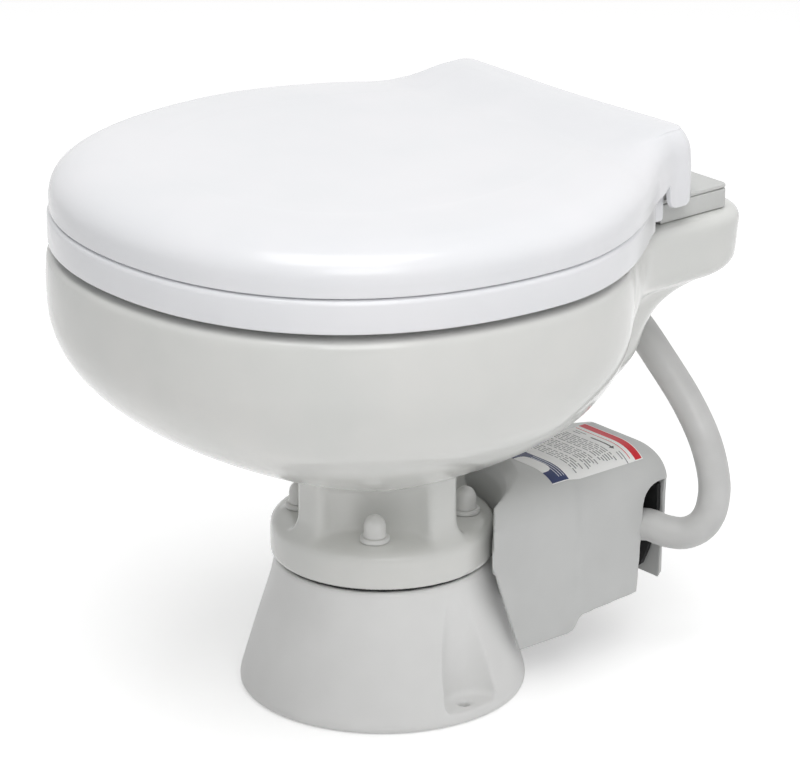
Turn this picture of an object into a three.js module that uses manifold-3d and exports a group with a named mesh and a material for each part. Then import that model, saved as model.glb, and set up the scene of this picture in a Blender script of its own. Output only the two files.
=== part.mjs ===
// Electric marine toilet: porcelain bowl on a plastic pedestal, seat and lid on a
// raised hinge rod, and a macerator motor with a rinse pump under a rear cover.
// Millimetres, +Z up. The front of the bowl points along -Y.

import * as THREE from 'three';
import { mergeVertices } from 'three/addons/utils/BufferGeometryUtils.js';
import Module from 'manifold-3d';

const wasm = await Module();
wasm.setup();

// Clearances and counts shared by every piece
const gap = 0.3;                // between pieces that touch
const overrun = 4;              // how far a cutter runs past the face it cuts
const runningGap = 0.4;         // round a rod or shaft that turns
const roundSides = 28;          // sides of a large round piece
const smallSides = 16;          // sides of a small round piece
const hexagonSides = 6;
const full = 2 * Math.PI;
const right = Math.PI / 2;

// Heights above the floor
const seamHeight = 86;          // top of the pedestal
const rimHeight = 297;          // top of the bowl and of its rear shelf
const seatClearance = 5;        // height of the bumpers between rim and seat
const seatThickness = 20.6;
const lidGap = 1;               // between seat and closed lid
const lidFrontRise = 31;        // crown above the lid's lower edge, front
const lidTailRise = 37.2;       // the same over the hinge
const seatUnderside = rimHeight + seatClearance;
const seatTop = seatUnderside + seatThickness;
const lidUnderside = seatTop + lidGap;

// Pedestal
const baseFootRadius = 90.7;
const baseFootHeight = 9;
const baseTopRadius = 68.3;
const baseWall = 5;
const baseTopPlate = 5.5;
const recessRadius = 21.5;      // scallops for the two floor screws
const recessOffset = 88.5;
const recessFloor = 8;
const recessCeiling = 77;
const recessWall = 4.5;
const floorScrewRadius = 3.6;
const floorScrewOffset = 79;
const basePortRadius = 31;      // opening at the rear for the pump

// Joint between pedestal and bowl
const gasketThickness = 1.4;
const gasketInset = 2.2;
const outletRadius = 19;
const boltCircle = 52.7;
const boltRadius = 4;
const boltHeadRadius = 7;
const boltHeadHeight = 5;
const washerRadius = 9.3;
const washerThickness = 3.4;
const nutRadius = 6;
const nutHeight = 5.6;
const capRadius = 7.3;
const capHeight = 13.8;
const capWall = 0.9;
const quarterTurns = [0, 1, 2, 3];

// Bowl
const bowlSide = 183;           // half width
const bowlFront = -207;
const bowlBack = 135;
const bowlSideAt = -15;         // where along Y the bowl is widest
const bowlFrontFullness = 0.615;
const bowlBackFullness = 0.56;
const bowlBottom = 145;         // height of the bowl's lowest point above the neck
const bowlDepth = rimHeight - bowlBottom;
const flangeRadius = 71;
const flangeEdge = 15;          // height of the flange's upright edge
const flangeBevel = 4;
const flangeHeight = 26.1;      // at the neck, above the gasket
const neckTopRadius = 44;
const neckFootRadius = 28;
const pillarReach = 66.5;
const pillarWidth = 29;
const bowlWall = 13;
const inletRadius = 6.8;
const inletBelowRim = 67;
const inletHeight = rimHeight - inletBelowRim;
const inletRoom = 21;           // recess round the hose end

// Rear shelf of the bowl
const shelfSide = 109;
const shelfBack = 220;
const shelfCorner = 34;
const shelfThickness = 43;
const shelfFlare = 146;         // half width where the shelf joins the bowl
const shelfFlareAt = 70;
const shelfStraightAt = 150;
const shelfEdge = 7;
const gussetDrop = 66;          // where the shelf runs down into the bowl's rear

// Seat
const seatSetback = 1;          // the seat's edge inside the bowl's
const seatSide = bowlSide - seatSetback;
const seatFront = bowlFront + 2 * seatSetback;
const seatWaist = { x: 119, y: 118 };
const seatTail = 104.5;
const seatBack = 141;
const seatCorner = 5;
const seatTailRun = 16;         // straight part of the tail's sides
const seatHoleSide = 114;
const seatHoleFront = -150;
const seatHoleBack = 76;
const seatEdge = 4;
const seatBumperRadius = 9;
const bumperSink = 4;
const lidBumperRadius = 5;

// Lid
const lidSetback = 1.2;         // the lid's edge inside the seat's
const lidSide = seatSide - lidSetback;
const lidFront = seatFront + lidSetback;
const lidSideAt = -15;
const lidWaist = { x: 121, y: 120 };
const lidTail = 109;
const lidTailAt = 146;
const lidTailFrom = 82;         // where the crown starts to rise to the hinge
const lidBack = 162.5;
const lidCorner = 9;
const lidLip = 9;               // wall at the lid's lower edge
const lobeWall = 2.9;           // wall of the two lobes beside the hinge block
const lobeRadius = 11.5;
const lobeDrop = 14;            // how far a lobe hangs below the lid's lower edge
const wallBlend = { before: 20, after: 5 };   // where the wall thins, from the waist

// Hinge
const hingeAt = 150.5;          // Y of the rod
const rodRise = 18.4;           // rod above the seat
const hingeHeight = seatTop + rodRise;
const rodRadius = 3.5;
const rodReach = 80;            // half length
const knuckleRadius = 7.5;
const blockSide = 98;
const blockFront = 142.6;
const blockBack = 200;
const blockCorner = 3;
const blockThickness = 12.4;
const plateThickness = 3;
const towerSide = 28;
const towerColumn = 9;
const towerFront = 119.5;
const armBelow = 6;
const armAbove = 5;
const seatEarInner = 34;
const earWidth = 10;
const lidEarInner = 66;
const seatSlotGap = 3;
const windowGap = 1.5;          // over the knuckles, in the lid's rear wall
const hingeBoltAt = { x: 50, y: 172 };
const hingeBoltRadius = 3.7;
const hingeBoltHead = 7;
const hingeBoltLength = 68;
const hingeNutRadius = 9;
const hingeNutHeight = 8;

// Motor cover
const coverSide = 77;
const coverStep = 2.5;          // the rear half is this much narrower
const coverStepAt = 97;
const coverStepLength = 7;
const coverFront = 21;          // beside the flange bolts
const coverHeelAt = 47;         // front of its lower edge, behind the pedestal
const coverToeAt = 28;          // front at the flange
const coverBack = 179;
const coverCorner = 5;
const coverTop = 137;
const coverShoulder = 25;       // height of the rounded top edge
const coverWall = 2.5;
const coverFrontFloor = 29.5;
const coverBackFloor = 39.5;
const coverFloorRise = 4;       // slope of the rear part's lower edge
const coverFitGap = 1;          // round the pedestal and flange
const capRoom = 1.5;            // round the caps and the rear pillar
const notchAt = 153;
const notchReach = 66;
const notchTop = 113;
const notchArch = 9;
const labelFront = 90;
const labelBack = 160.5;
const labelSide = { left: 11, right: 69 };
const labelThickness = 0.6;
const coverScrewAt = { x: 44, z: 62 };
const coverScrewRadius = 2;
const coverScrewHead = 4.2;
const coverScrewLength = 9;

// Pump and motor, all on one axis along Y
const shaftHeight = 60;
const elbowRadius = 20;
const elbowBore = 17;
const elbowFlange = 32;
const elbowWall = 3;
const housingFront = 74.5;
const housingLength = 30;
const housingRadius = 30;
const housingWall = 3.5;
const portRadius = 14;
const portBore = 11;
const portReach = 62;
const spigotRadius = 19;
const spigotBore = 15;
const spigotLength = 40;
const spigotBarb = { height: 0.8, half: 1.5 };
const valveLength = 14;
const valveRim = 3;
const valveLip = 2;
const adapterThickness = 5;
const adapterRadius = 33;
const sealRadius = 9;
const canLength = 30;
const canRadius = 30;
const canWall = 2.2;
const bellLength = 6;
const pumpLength = 16;
const pumpRadius = 24;
const pumpWall = 3.5;
const pumpLid = 3;
const shaftRadius = 4;
const bladeReach = 22;
const bladeThickness = 3;
const bladeChord = 7;
const bladeRoom = 1;            // in front of and behind the blade
const impellerRadius = 22;
const vaneHalf = 1.2;
const vaneRoom = 0.8;           // between the rinse impeller and its housing
const armatureRadius = 22;
const barbHeight = 78;
const barbRadius = 6.3;
const barbBore = 4.5;
const barbRidge = { height: 0.7, length: 2 };
const barbCollar = 3;
const barbRoot = 6;             // part of a barb that the hose leaves free
const glandRadius = 8;
const glandAt = { x: -48, z: 92 };
const glandLength = 14;

// Rinse hose
const hoseRadius = 10.5;
const hoseReach = 100.6;        // how far it bows out to the right
const hoseBore = 6.8;
const hoseGripLength = 14;      // how far the hose is pushed over a barb
const clipWidth = 8;
const clipThickness = 1.4;
const pumpClipShare = 0.02;     // places of the clips along the hose
const bowlClipShare = 0.972;
// Its route as shares of its reach, of the cover's back and of the rise to the inlet
const hoseRouteShares = [
  [0.3777, 0.8827, 0.0], [0.4473, 0.8827, 0.0], [0.5169, 0.8838, 0.0026], [0.6064, 0.895, 0.0211],
  [0.7197, 0.9184, 0.0368], [0.8082, 0.9441, 0.0211], [0.9046, 0.9866, 0.0151],
  [0.9742, 1.0268, 0.0461], [0.998, 1.0592, 0.0987], [1.0, 1.0793, 0.1974], [0.9742, 1.0782, 0.3053],
  [0.9145, 1.0726, 0.4112], [0.825, 1.0715, 0.4954], [0.7157, 1.0659, 0.5836],
  [0.5964, 1.0531, 0.673], [0.497, 1.0469, 0.7368], [0.3976, 1.0425, 0.7967],
  [0.2783, 1.0279, 0.8684], [0.159, 0.9972, 0.9309], [0.0646, 0.9441, 0.977],
  [0.0099, 0.8771, 0.9987], [0.0, 0.8045, 1.0], [0.0, 0.7374, 1.0],
];
const hoseRoute = hoseRouteShares.map(([across, back, up]) => [
  across * hoseReach, back * coverBack, barbHeight + up * (inletHeight - barbHeight)]);

// Finishes
const finishes = {
  porcelain: { color: 0xdededa, roughness: 0.12, metalness: 0 },
  seatPlastic: { color: 0xf3f3f5, roughness: 0.28, metalness: 0 },
  pedestalPlastic: { color: 0xd4d4d2, roughness: 0.38, metalness: 0 },
  coverPlastic: { color: 0xcccdcb, roughness: 0.42, metalness: 0 },
  hingePlastic: { color: 0xd0d0ce, roughness: 0.4, metalness: 0 },
  capPlastic: { color: 0xe2e2e0, roughness: 0.35, metalness: 0 },
  hoseVinyl: { color: 0xd6d6d5, roughness: 0.45, metalness: 0 },
  sealRubber: { color: 0x1d1d1e, roughness: 0.75, metalness: 0 },
  bufferRubber: { color: 0xc9c9c6, roughness: 0.7, metalness: 0 },
  pumpPlastic: { color: 0x1b1c1e, roughness: 0.5, metalness: 0 },
  steel: { color: 0xb9bbbe, roughness: 0.3, metalness: 1 },
  motorSteel: { color: 0x2b2d31, roughness: 0.45, metalness: 0.6 },
  brass: { color: 0xb59a55, roughness: 0.35, metalness: 1 },
  label: { color: 0xf2f2ef, roughness: 0.5, metalness: 0 },
};

// Solid helpers

function toSolid(source) {
  const bare = source.clone();
  bare.deleteAttribute('normal');
  bare.deleteAttribute('uv');
  const merged = mergeVertices(bare);
  const corners = merged.index.array;
  const kept = [];
  for (let i = 0; i < corners.length; i += 3) {
    const [a, b, c] = [corners[i], corners[i + 1], corners[i + 2]];
    if (a !== b && b !== c && c !== a) kept.push(a, b, c);
  }
  const places = merged.attributes.position.array;
  const point = (i) => new THREE.Vector3().fromArray(places, 3 * i);
  let volume = 0;
  for (let i = 0; i < kept.length; i += 3) {
    volume += point(kept[i]).dot(point(kept[i + 1]).cross(point(kept[i + 2])));
  }
  if (volume < 0) kept.reverse();
  return new wasm.Manifold(new wasm.Mesh({
    numProp: 3, vertProperties: new Float32Array(places), triVerts: new Uint32Array(kept),
  }));
}

function toGeometry(solid) {
  const mesh = solid.getMesh();
  const geometry = new THREE.BufferGeometry();
  geometry.setAttribute('position', new THREE.BufferAttribute(new Float32Array(mesh.vertProperties), 3));
  geometry.setIndex(new THREE.BufferAttribute(new Uint32Array(mesh.triVerts), 1));
  geometry.computeVertexNormals();
  return geometry;
}

function join(...solids) {
  return solids.reduce((whole, piece) => whole.add(piece));
}

function cut(solid, ...cutters) {
  return cutters.reduce((whole, cutter) => whole.subtract(cutter), solid);
}

// A box between two corners
function block(low, high) {
  const size = high.map((value, i) => value - low[i]);
  const middle = high.map((value, i) => (value + low[i]) / 2);
  return toSolid(new THREE.BoxGeometry(...size).translate(...middle));
}

// An upright cylinder or cone from one height to another
function upright(x, y, low, high, radius, topRadius = radius, sides = smallSides) {
  const shape = new THREE.CylinderGeometry(topRadius, radius, high - low, sides);
  return toSolid(shape.rotateX(right).translate(x, y, (low + high) / 2));
}

// A cylinder along Y
function alongY(x, z, low, high, radius, sides = smallSides) {
  const shape = new THREE.CylinderGeometry(radius, radius, high - low, sides);
  return toSolid(shape.translate(x, (low + high) / 2, z));
}

// A cylinder along X
function alongX(y, z, low, high, radius, sides = smallSides) {
  const shape = new THREE.CylinderGeometry(radius, radius, high - low, sides);
  return toSolid(shape.rotateZ(right).translate((low + high) / 2, y, z));
}

// A profile of [radius, height] points turned round the Z axis
function turned(profile, sides = roundSides) {
  const points = profile.map(([radius, height]) => new THREE.Vector2(radius, height));
  return toSolid(new THREE.LatheGeometry(points, sides).rotateX(right));
}

// A profile of [y, z] points pushed along X
function sideProfile(points, low, high) {
  const shape = new THREE.Shape(points.map(([y, z]) => new THREE.Vector2(y, z)));
  const body = new THREE.ExtrudeGeometry(shape, { depth: high - low, bevelEnabled: false });
  return toSolid(body.rotateX(right).rotateZ(right).translate(low, 0, 0));
}

// A plan outline of [x, y] points pushed along Z
function planProfile(points, low, high) {
  const shape = new THREE.Shape(points.map(([x, y]) => new THREE.Vector2(x, y)));
  const body = new THREE.ExtrudeGeometry(shape, { depth: high - low, bevelEnabled: false });
  return toSolid(body.translate(0, 0, low));
}

// A skin over a stack of rings that all have the same number of points
function loft(rings) {
  const count = rings[0].length;
  const places = rings.flat().flatMap((point) => [point.x, point.y, point.z]);
  const faces = [];
  for (let level = 0; level + 1 < rings.length; level += 1) {
    for (let i = 0; i < count; i += 1) {
      const next = (i + 1) % count;
      const [a, b] = [level * count + i, level * count + next];
      faces.push(a, b, b + count, a, b + count, a + count);
    }
  }
  const capOf = (ring) => THREE.ShapeUtils.triangulateShape(
    ring.map((point) => new THREE.Vector2(point.x, point.y)), []);
  const last = (rings.length - 1) * count;
  for (const [a, b, c] of capOf(rings[0])) faces.push(a, c, b);
  for (const [a, b, c] of capOf(rings[rings.length - 1])) faces.push(a + last, b + last, c + last);
  const geometry = new THREE.BufferGeometry();
  geometry.setAttribute('position', new THREE.Float32BufferAttribute(places, 3));
  geometry.setIndex(faces);
  return toSolid(geometry);
}

// Outline helpers, in the plan view

function curve(from, handleA, handleB, to, steps) {
  const vectors = [from, handleA, handleB, to].map(([x, y]) => new THREE.Vector2(x, y));
  return new THREE.CubicBezierCurve(...vectors).getPoints(steps).slice(0, steps);
}

function mirrored(half) {
  const other = half.slice(1, -1).reverse().map((point) => new THREE.Vector2(-point.x, point.y));
  return [...half, ...other];
}

// A quarter from the front centre to the widest point
function frontQuarter(front, side, sideAt, fullness, steps) {
  const reach = fullness * (sideAt - front);
  return curve([0, front], [fullness * side, front], [side, sideAt - reach], [side, sideAt], steps);
}

const frontSteps = 9;
const backSteps = 7;

// An egg, widest at sideAt
function egg(front, side, sideAt, back) {
  const reach = bowlBackFullness * (back - sideAt);
  const half = [
    ...frontQuarter(front, side, sideAt, bowlFrontFullness, frontSteps),
    ...curve([side, sideAt], [side, sideAt + reach], [bowlBackFullness * side, back], [0, back], backSteps),
    new THREE.Vector2(0, back),
  ];
  return mirrored(half);
}

// Points round a corner, from the side wall to the rear one
function roundCorner(side, back, radius, steps, first) {
  const points = [];
  for (let i = first; i <= steps; i += 1) {
    const turn = (right * i) / steps;
    const [across, along] = [Math.cos(turn), Math.sin(turn)];
    points.push(new THREE.Vector2(side - radius * (1 - across), back - radius * (1 - along)));
  }
  return points;
}

// A seat or lid: an egg whose back runs into a narrower tail with rounded corners
const waistShare = 0.5;
const waistLean = { x: 9, y: 16 };
function tailedEgg({ front, side, sideAt, waist, tail, tailAt, back, corner }) {
  const reach = waistShare * (waist.y - sideAt);
  const cornerSteps = 3;
  const half = [
    ...frontQuarter(front, side, sideAt, bowlFrontFullness, frontSteps),
    ...curve([side, sideAt], [side, sideAt + reach],
      [waist.x + waistLean.x, waist.y - waistLean.y], [waist.x, waist.y], backSteps),
    ...curve([waist.x, waist.y], [waist.x - waistLean.x / 3, waist.y + waistLean.y / 3],
      [tail, tailAt - waistLean.y / 3], [tail, tailAt], 3),
  ];
  half.push(...roundCorner(tail, back, corner, cornerSteps, 0));
  const straightSteps = 3;
  for (let i = 1; i <= straightSteps; i += 1) {
    half.push(new THREE.Vector2((tail - corner) * (1 - i / straightSteps), back));
  }
  return mirrored(half);
}

// Moves an outline inwards along its own normals
function inset(outline, distance) {
  const count = outline.length;
  return outline.map((point, i) => {
    const before = outline[(i + count - 1) % count];
    const after = outline[(i + 1) % count];
    const along = after.clone().sub(before).normalize();
    const amount = typeof distance === 'function' ? distance(point) : distance;
    return new THREE.Vector2(point.x - along.y * amount, point.y + along.x * amount);
  });
}

// Draws an outline in towards a spine along Y, which never folds it over
const spine = { front: -40, back: 85 };
function drawnIn(outline, distance) {
  return outline.map((point) => {
    const centre = new THREE.Vector2(0, THREE.MathUtils.clamp(point.y, spine.front, spine.back));
    const arm = point.clone().sub(centre);
    const amount = typeof distance === 'function' ? distance(point) : distance;
    return centre.addScaledVector(arm, 1 - amount / arm.length());
  });
}

function atHeight(outline, height) {
  const level = typeof height === 'function' ? height : () => height;
  return outline.map((point) => new THREE.Vector3(point.x, point.y, level(point)));
}

function smooth(value, low, high) {
  return THREE.MathUtils.smoothstep(value, low, high);
}

// Bowl

const shelfUnderside = rimHeight - shelfThickness;
const inletShare = 0.955;
const inletFace = bowlBack * inletShare;
const flangeBottom = seamHeight + gasketThickness + 2 * gap;
const flangeTop = flangeBottom + flangeHeight;

// How the bowl narrows from the rim down to the neck, in shares of depth and width
const bowlDepthShares = [0, 0.08, 0.17, 0.29, 0.4, 0.52, 0.635, 0.74, 0.835, 0.92, 1];
const bowlWidthShares = [0.99, 1, 1, 0.991, 0.96, 0.893, 0.79, 0.66, 0.52, 0.375, 0.23];
const cavityDepthShares = [-0.02, 0.13, 0.17, 0.23, 0.4, 0.52, 0.635, 0.74, 0.835, 0.92];
const cavityWidthShares = [0.76, 0.76, 0.8, 0.89, 0.885, 0.81, 0.7, 0.56, 0.41, 0.2];

function bowlRing(depthShare, widthShare) {
  const sizes = [bowlFront, bowlSide, bowlSideAt, bowlBack].map((size) => size * widthShare);
  return atHeight(egg(...sizes), rimHeight - depthShare * bowlDepth);
}

// The shelf's plan outline, flared where it grows out of the bowl
function shelfOutline(flare, side, back, corner) {
  const straightAt = Math.min(shelfStraightAt, back - corner);
  const bend = (straightAt - shelfFlareAt) / 2;
  const half = [
    new THREE.Vector2(0, shelfFlareAt),
    ...curve([flare, shelfFlareAt], [flare - bend / 2, shelfFlareAt + bend],
      [side, straightAt - bend], [side, straightAt], 5),
  ];
  half.push(new THREE.Vector2(side, straightAt));
  const cornerSteps = 5;
  half.push(...roundCorner(side, back, corner, cornerSteps, 1));
  half.push(new THREE.Vector2(0, back));
  return mirrored(half);
}

// How the shelf's underside sweeps down into the bowl: shares of drop and of the shelf's sizes
const gussetShares = [
  { drop: 1, flare: 0.41, side: 0.642, back: 0.582, corner: 1.32 },
  { drop: 0.8, flare: 0.55, side: 0.716, back: 0.664, corner: 1.24 },
  { drop: 0.62, flare: 0.7, side: 0.752, back: 0.718, corner: 1.18 },
  { drop: 0.45, flare: 0.79, side: 0.78, back: 0.759, corner: 1.12 },
  { drop: 0.28, flare: 0.863, side: 0.807, back: 0.791, corner: 1.06 },
  { drop: 0.12, flare: 0.925, side: 0.844, back: 0.864, corner: 1 },
];

function shelfSolid() {
  const low = rimHeight - shelfThickness;
  const whole = shelfOutline(shelfFlare, shelfSide, shelfBack, shelfCorner);
  const eased = (amount) => whole.map((point) => {
    const rear = smooth(point.y, shelfFlareAt, shelfStraightAt);
    const pulled = point.x * (1 - (amount * rear) / shelfSide);
    return new THREE.Vector2(pulled, point.y - amount * rear);
  });
  const gusset = ({ drop, flare, side, back, corner }) => atHeight(
    shelfOutline(flare * shelfFlare, side * shelfSide, back * shelfBack, corner * shelfCorner),
    low - gussetDrop * drop);
  return loft([
    ...gussetShares.map(gusset),
    atHeight(eased(shelfEdge * 2), low),
    atHeight(eased(shelfEdge / 2), low + shelfEdge),
    atHeight(whole, low + shelfEdge * 2),
    atHeight(whole, rimHeight - shelfEdge),
    atHeight(eased(shelfEdge / 4), rimHeight - shelfEdge / 3),
    atHeight(eased(shelfEdge), rimHeight),
  ]);
}

// Places of the four flange bolts
const boltPlaces = quarterTurns.map((turn) => {
  const angle = (turn + 0.5) * right;
  return [boltCircle * Math.sin(angle), -boltCircle * Math.cos(angle)];
});

function makeBowl() {
  const levels = bowlDepthShares.map((depth, i) => bowlRing(depth, bowlWidthShares[i])).reverse();
  const cavity = cavityDepthShares.map((depth, i) => bowlRing(depth, cavityWidthShares[i])).reverse();
  const neckTop = bowlBottom + bowlWall;
  const flange = turned([
    [0, flangeBottom], [flangeRadius - flangeBevel / 2, flangeBottom],
    [flangeRadius, flangeBottom + flangeBevel / 2], [flangeRadius, flangeBottom + flangeEdge],
    [flangeRadius - flangeBevel, flangeBottom + flangeEdge + flangeBevel],
    [neckFootRadius, flangeTop], [0, flangeTop],
  ]);
  const neck = upright(0, 0, flangeTop - overrun, neckTop, neckFootRadius, neckTopRadius, roundSides);
  const pillars = quarterTurns.map((turn) => {
    const rounding = pillarWidth / 2;
    const middle = pillarReach - rounding;
    const rib = join(
      block([-rounding, -middle, flangeTop - overrun - gap], [rounding, 0, neckTop]),
      upright(0, -middle, flangeTop - overrun - gap, neckTop, rounding),
    );
    return rib.rotate([0, 0, turn * 90]);
  });
  const bosses = boltPlaces.map(([x, y]) => (
    upright(x, y, flangeBottom + flangeEdge, flangeTop, washerRadius + gap)));
  const holes = boltPlaces.map(([x, y]) => (
    upright(x, y, flangeBottom - overrun, flangeTop + overrun, boltRadius + runningGap)));
  const hingeHoles = [-1, 1].flatMap((side) => [
    upright(side * hingeBoltAt.x, hingeBoltAt.y, shelfUnderside - overrun, rimHeight + overrun,
      hingeBoltRadius + runningGap),
    upright(side * hingeBoltAt.x, hingeBoltAt.y, shelfUnderside - gussetDrop - overrun, shelfUnderside,
      hingeNutRadius + capRoom),
  ]);
  const body = join(loft(levels), shelfSolid(), flange, neck, ...pillars, ...bosses);
  const room = join(alongY(0, inletHeight, inletFace, shelfBack, inletRoom),
    block([-inletRoom, inletFace, 0], [inletRoom, shelfBack, inletHeight]));
  return cut(body, loft(cavity), room,
    upright(0, 0, flangeBottom - overrun, neckTop + overrun, outletRadius, outletRadius, roundSides),
    alongY(0, inletHeight, bowlBack / 2, bowlBack + overrun, inletRadius),
    ...holes, ...hingeHoles);
}

function makeGasket() {
  const low = seamHeight + gap;
  const bore = outletRadius + gasketInset;
  const edge = flangeRadius - gasketInset * 2;
  const top = low + gasketThickness;
  const ring = turned([[bore, low], [edge, low], [edge, top], [bore, top], [bore, low]]);
  const holes = boltPlaces.map(([x, y]) => (
    upright(x, y, low - overrun, low + gasketThickness + overrun, boltRadius + runningGap)));
  return cut(ring, ...holes);
}

// Pedestal

function makePedestal() {
  const plateBottom = seamHeight - baseTopPlate;
  const taper = (baseFootRadius - baseTopRadius) / (seamHeight - baseFootHeight);
  const plateRadius = baseTopRadius + taper * baseTopPlate;
  const outer = turned([
    [0, 0], [baseFootRadius, 0], [baseFootRadius, baseFootHeight], [baseTopRadius, seamHeight],
    [0, seamHeight],
  ], roundSides * 2);
  const inner = turned([
    [0, -overrun], [baseFootRadius - baseWall, -overrun], [baseFootRadius - baseWall, baseFootHeight],
    [plateRadius - baseWall, plateBottom], [0, plateBottom],
  ]);
  const sides = [-1, 1];
  const bosses = sides.map((side) => (
    upright(side * recessOffset, 0, 0, seamHeight, recessRadius + recessWall)));
  const recesses = sides.map((side) => (
    upright(side * recessOffset, 0, recessFloor, recessCeiling, recessRadius)));
  const outward = sides.map((side) => block(
    [Math.min(side * recessOffset, side * 2 * recessOffset), -recessRadius, recessFloor],
    [Math.max(side * recessOffset, side * 2 * recessOffset), recessRadius, recessCeiling]));
  const screwHoles = sides.map((side) => (
    upright(side * floorScrewOffset, 0, -overrun, recessFloor + overrun, floorScrewRadius)));
  const boltHoles = boltPlaces.map(([x, y]) => (
    upright(x, y, plateBottom - overrun, seamHeight + overrun, boltRadius + runningGap)));
  const port = join(
    alongY(0, shaftHeight, 0, baseFootRadius + overrun, basePortRadius, roundSides),
    block([-basePortRadius, 0, -overrun], [basePortRadius, baseFootRadius + overrun, shaftHeight]),
  );
  const portLimit = block([-basePortRadius, 0, -2 * overrun],
    [basePortRadius, 2 * baseFootRadius, plateBottom]);
  return cut(outer, cut(inner, ...bosses), ...recesses, ...outward, ...screwHoles, ...boltHoles,
    port.intersect(portLimit),
    upright(0, 0, plateBottom - overrun, seamHeight + overrun, elbowFlange + gap, elbowFlange + gap,
      roundSides));
}

// Flange fasteners

const washerBottom = flangeTop + gap;
const capBottom = washerBottom + washerThickness + gap;

function hexagon(x, y, low, high, radius) {
  return upright(x, y, low, high, radius, radius, hexagonSides);
}

function makeFlangeBolt(x, y) {
  const headTop = seamHeight - baseTopPlate - gap;
  return join(
    hexagon(x, y, headTop - boltHeadHeight, headTop, boltHeadRadius),
    upright(x, y, headTop - boltHeadHeight / 2, capBottom + nutHeight + gap, boltRadius),
  );
}

function makeFlangeWasher(x, y) {
  return cut(upright(x, y, washerBottom, washerBottom + washerThickness, washerRadius, washerRadius - gap),
    upright(x, y, washerBottom - overrun, capBottom + overrun, boltRadius + runningGap));
}

function makeFlangeNut(x, y) {
  return cut(hexagon(x, y, capBottom, capBottom + nutHeight, nutRadius),
    upright(x, y, capBottom - overrun, capBottom + nutHeight + overrun, boltRadius + runningGap));
}

// A hollow dome with an open mouth over nut and thread
function makeDomeCap(x, y) {
  const straight = capHeight - capRadius;
  const inside = capRadius - capWall;
  const outline = [[inside, 0], [capRadius, 0], [capRadius - capWall / 3, straight]];
  const steps = 4;
  for (let i = 1; i <= steps; i += 1) {
    const turn = (right * i) / steps;
    outline.push([(capRadius - capWall / 3) * Math.cos(turn), straight + capRadius * Math.sin(turn)]);
  }
  for (let i = steps; i >= 1; i -= 1) {
    const turn = (right * i) / steps;
    outline.push([inside * Math.cos(turn), straight + inside * Math.sin(turn)]);
  }
  outline.push([inside, straight], [inside, 0]);
  outline.filter((point) => Math.abs(point[0]) < gap / 10).forEach((point) => { point[0] = 0; });
  return turned(outline, smallSides).translate([x, y, capBottom]);
}

// Seat

function seatForm() {
  return {
    front: seatFront, side: seatSide, sideAt: lidSideAt, waist: seatWaist,
    tail: seatTail, tailAt: seatBack - seatTailRun, back: seatBack, corner: seatCorner,
  };
}

function makeSeatRing() {
  const outline = tailedEgg(seatForm());
  const outer = loft([
    atHeight(inset(outline, seatEdge / 2), seatUnderside),
    atHeight(outline, seatUnderside + seatEdge),
    atHeight(outline, seatTop - seatEdge * 1.3),
    atHeight(inset(outline, seatEdge / 4), seatTop - seatEdge / 2),
    atHeight(inset(outline, seatEdge), seatTop),
  ]);
  const hole = egg(seatHoleFront, seatHoleSide, lidSideAt, seatHoleBack);
  const opening = loft([
    atHeight(hole, seatUnderside - overrun),
    atHeight(hole, seatUnderside + seatThickness / 2),
    atHeight(inset(hole, -seatEdge), seatTop - seatEdge / 2),
    atHeight(inset(hole, -seatEdge * 3), seatTop + seatEdge / 2),
  ]);
  const slot = block([-towerSide - seatSlotGap, towerFront - seatSlotGap, seatUnderside - overrun],
    [towerSide + seatSlotGap, seatBack + overrun, seatTop + overrun]);
  const ears = [-1, 1].map((side) => makeSeatEar(side));
  const rodHole = alongX(hingeAt, hingeHeight, -rodReach, rodReach, rodRadius + runningGap);
  const sockets = seatBumperPlaces.map(([x, y]) => (
    upright(x, y, seatUnderside - overrun, seatUnderside + bumperSink, seatBumperRadius / 2 + gap)));
  return cut(join(cut(outer, opening, slot), ...ears), rodHole, ...sockets);
}

function makeSeatEar(side) {
  const low = side > 0 ? seatEarInner : -seatEarInner - earWidth;
  const foot = seatTop - seatEdge;
  const arm = sideProfile([
    [hingeAt - knuckleRadius * 3.4, foot], [hingeAt - knuckleRadius * 1.6, foot],
    [hingeAt + knuckleRadius * 0.6, hingeHeight - knuckleRadius * 0.8],
    [hingeAt - knuckleRadius * 0.5, hingeHeight + knuckleRadius * 0.8],
    [hingeAt - knuckleRadius * 1.6, hingeHeight + knuckleRadius * 0.1],
  ], low, low + earWidth);
  return join(arm, alongX(hingeAt, hingeHeight, low, low + earWidth, knuckleRadius));
}

const seatBumperShares = [[0.62, -0.62], [-0.62, -0.62], [0.79, 0.3], [-0.79, 0.3]];
const seatBumperPlaces = seatBumperShares.map(([across, along]) => [across * seatSide, -along * seatFront]);

function makeSeatBumper([x, y]) {
  const low = rimHeight + gap;
  return join(
    upright(x, y, low, seatUnderside - gap, seatBumperRadius, seatBumperRadius * 0.9),
    upright(x, y, seatUnderside - gap * 2, seatUnderside + bumperSink - gap, seatBumperRadius / 2),
  );
}

// Lid

function lidForm() {
  return {
    front: lidFront, side: lidSide, sideAt: lidSideAt, waist: lidWaist,
    tail: lidTail, tailAt: lidTailAt, back: lidBack, corner: lidCorner,
  };
}

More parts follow.
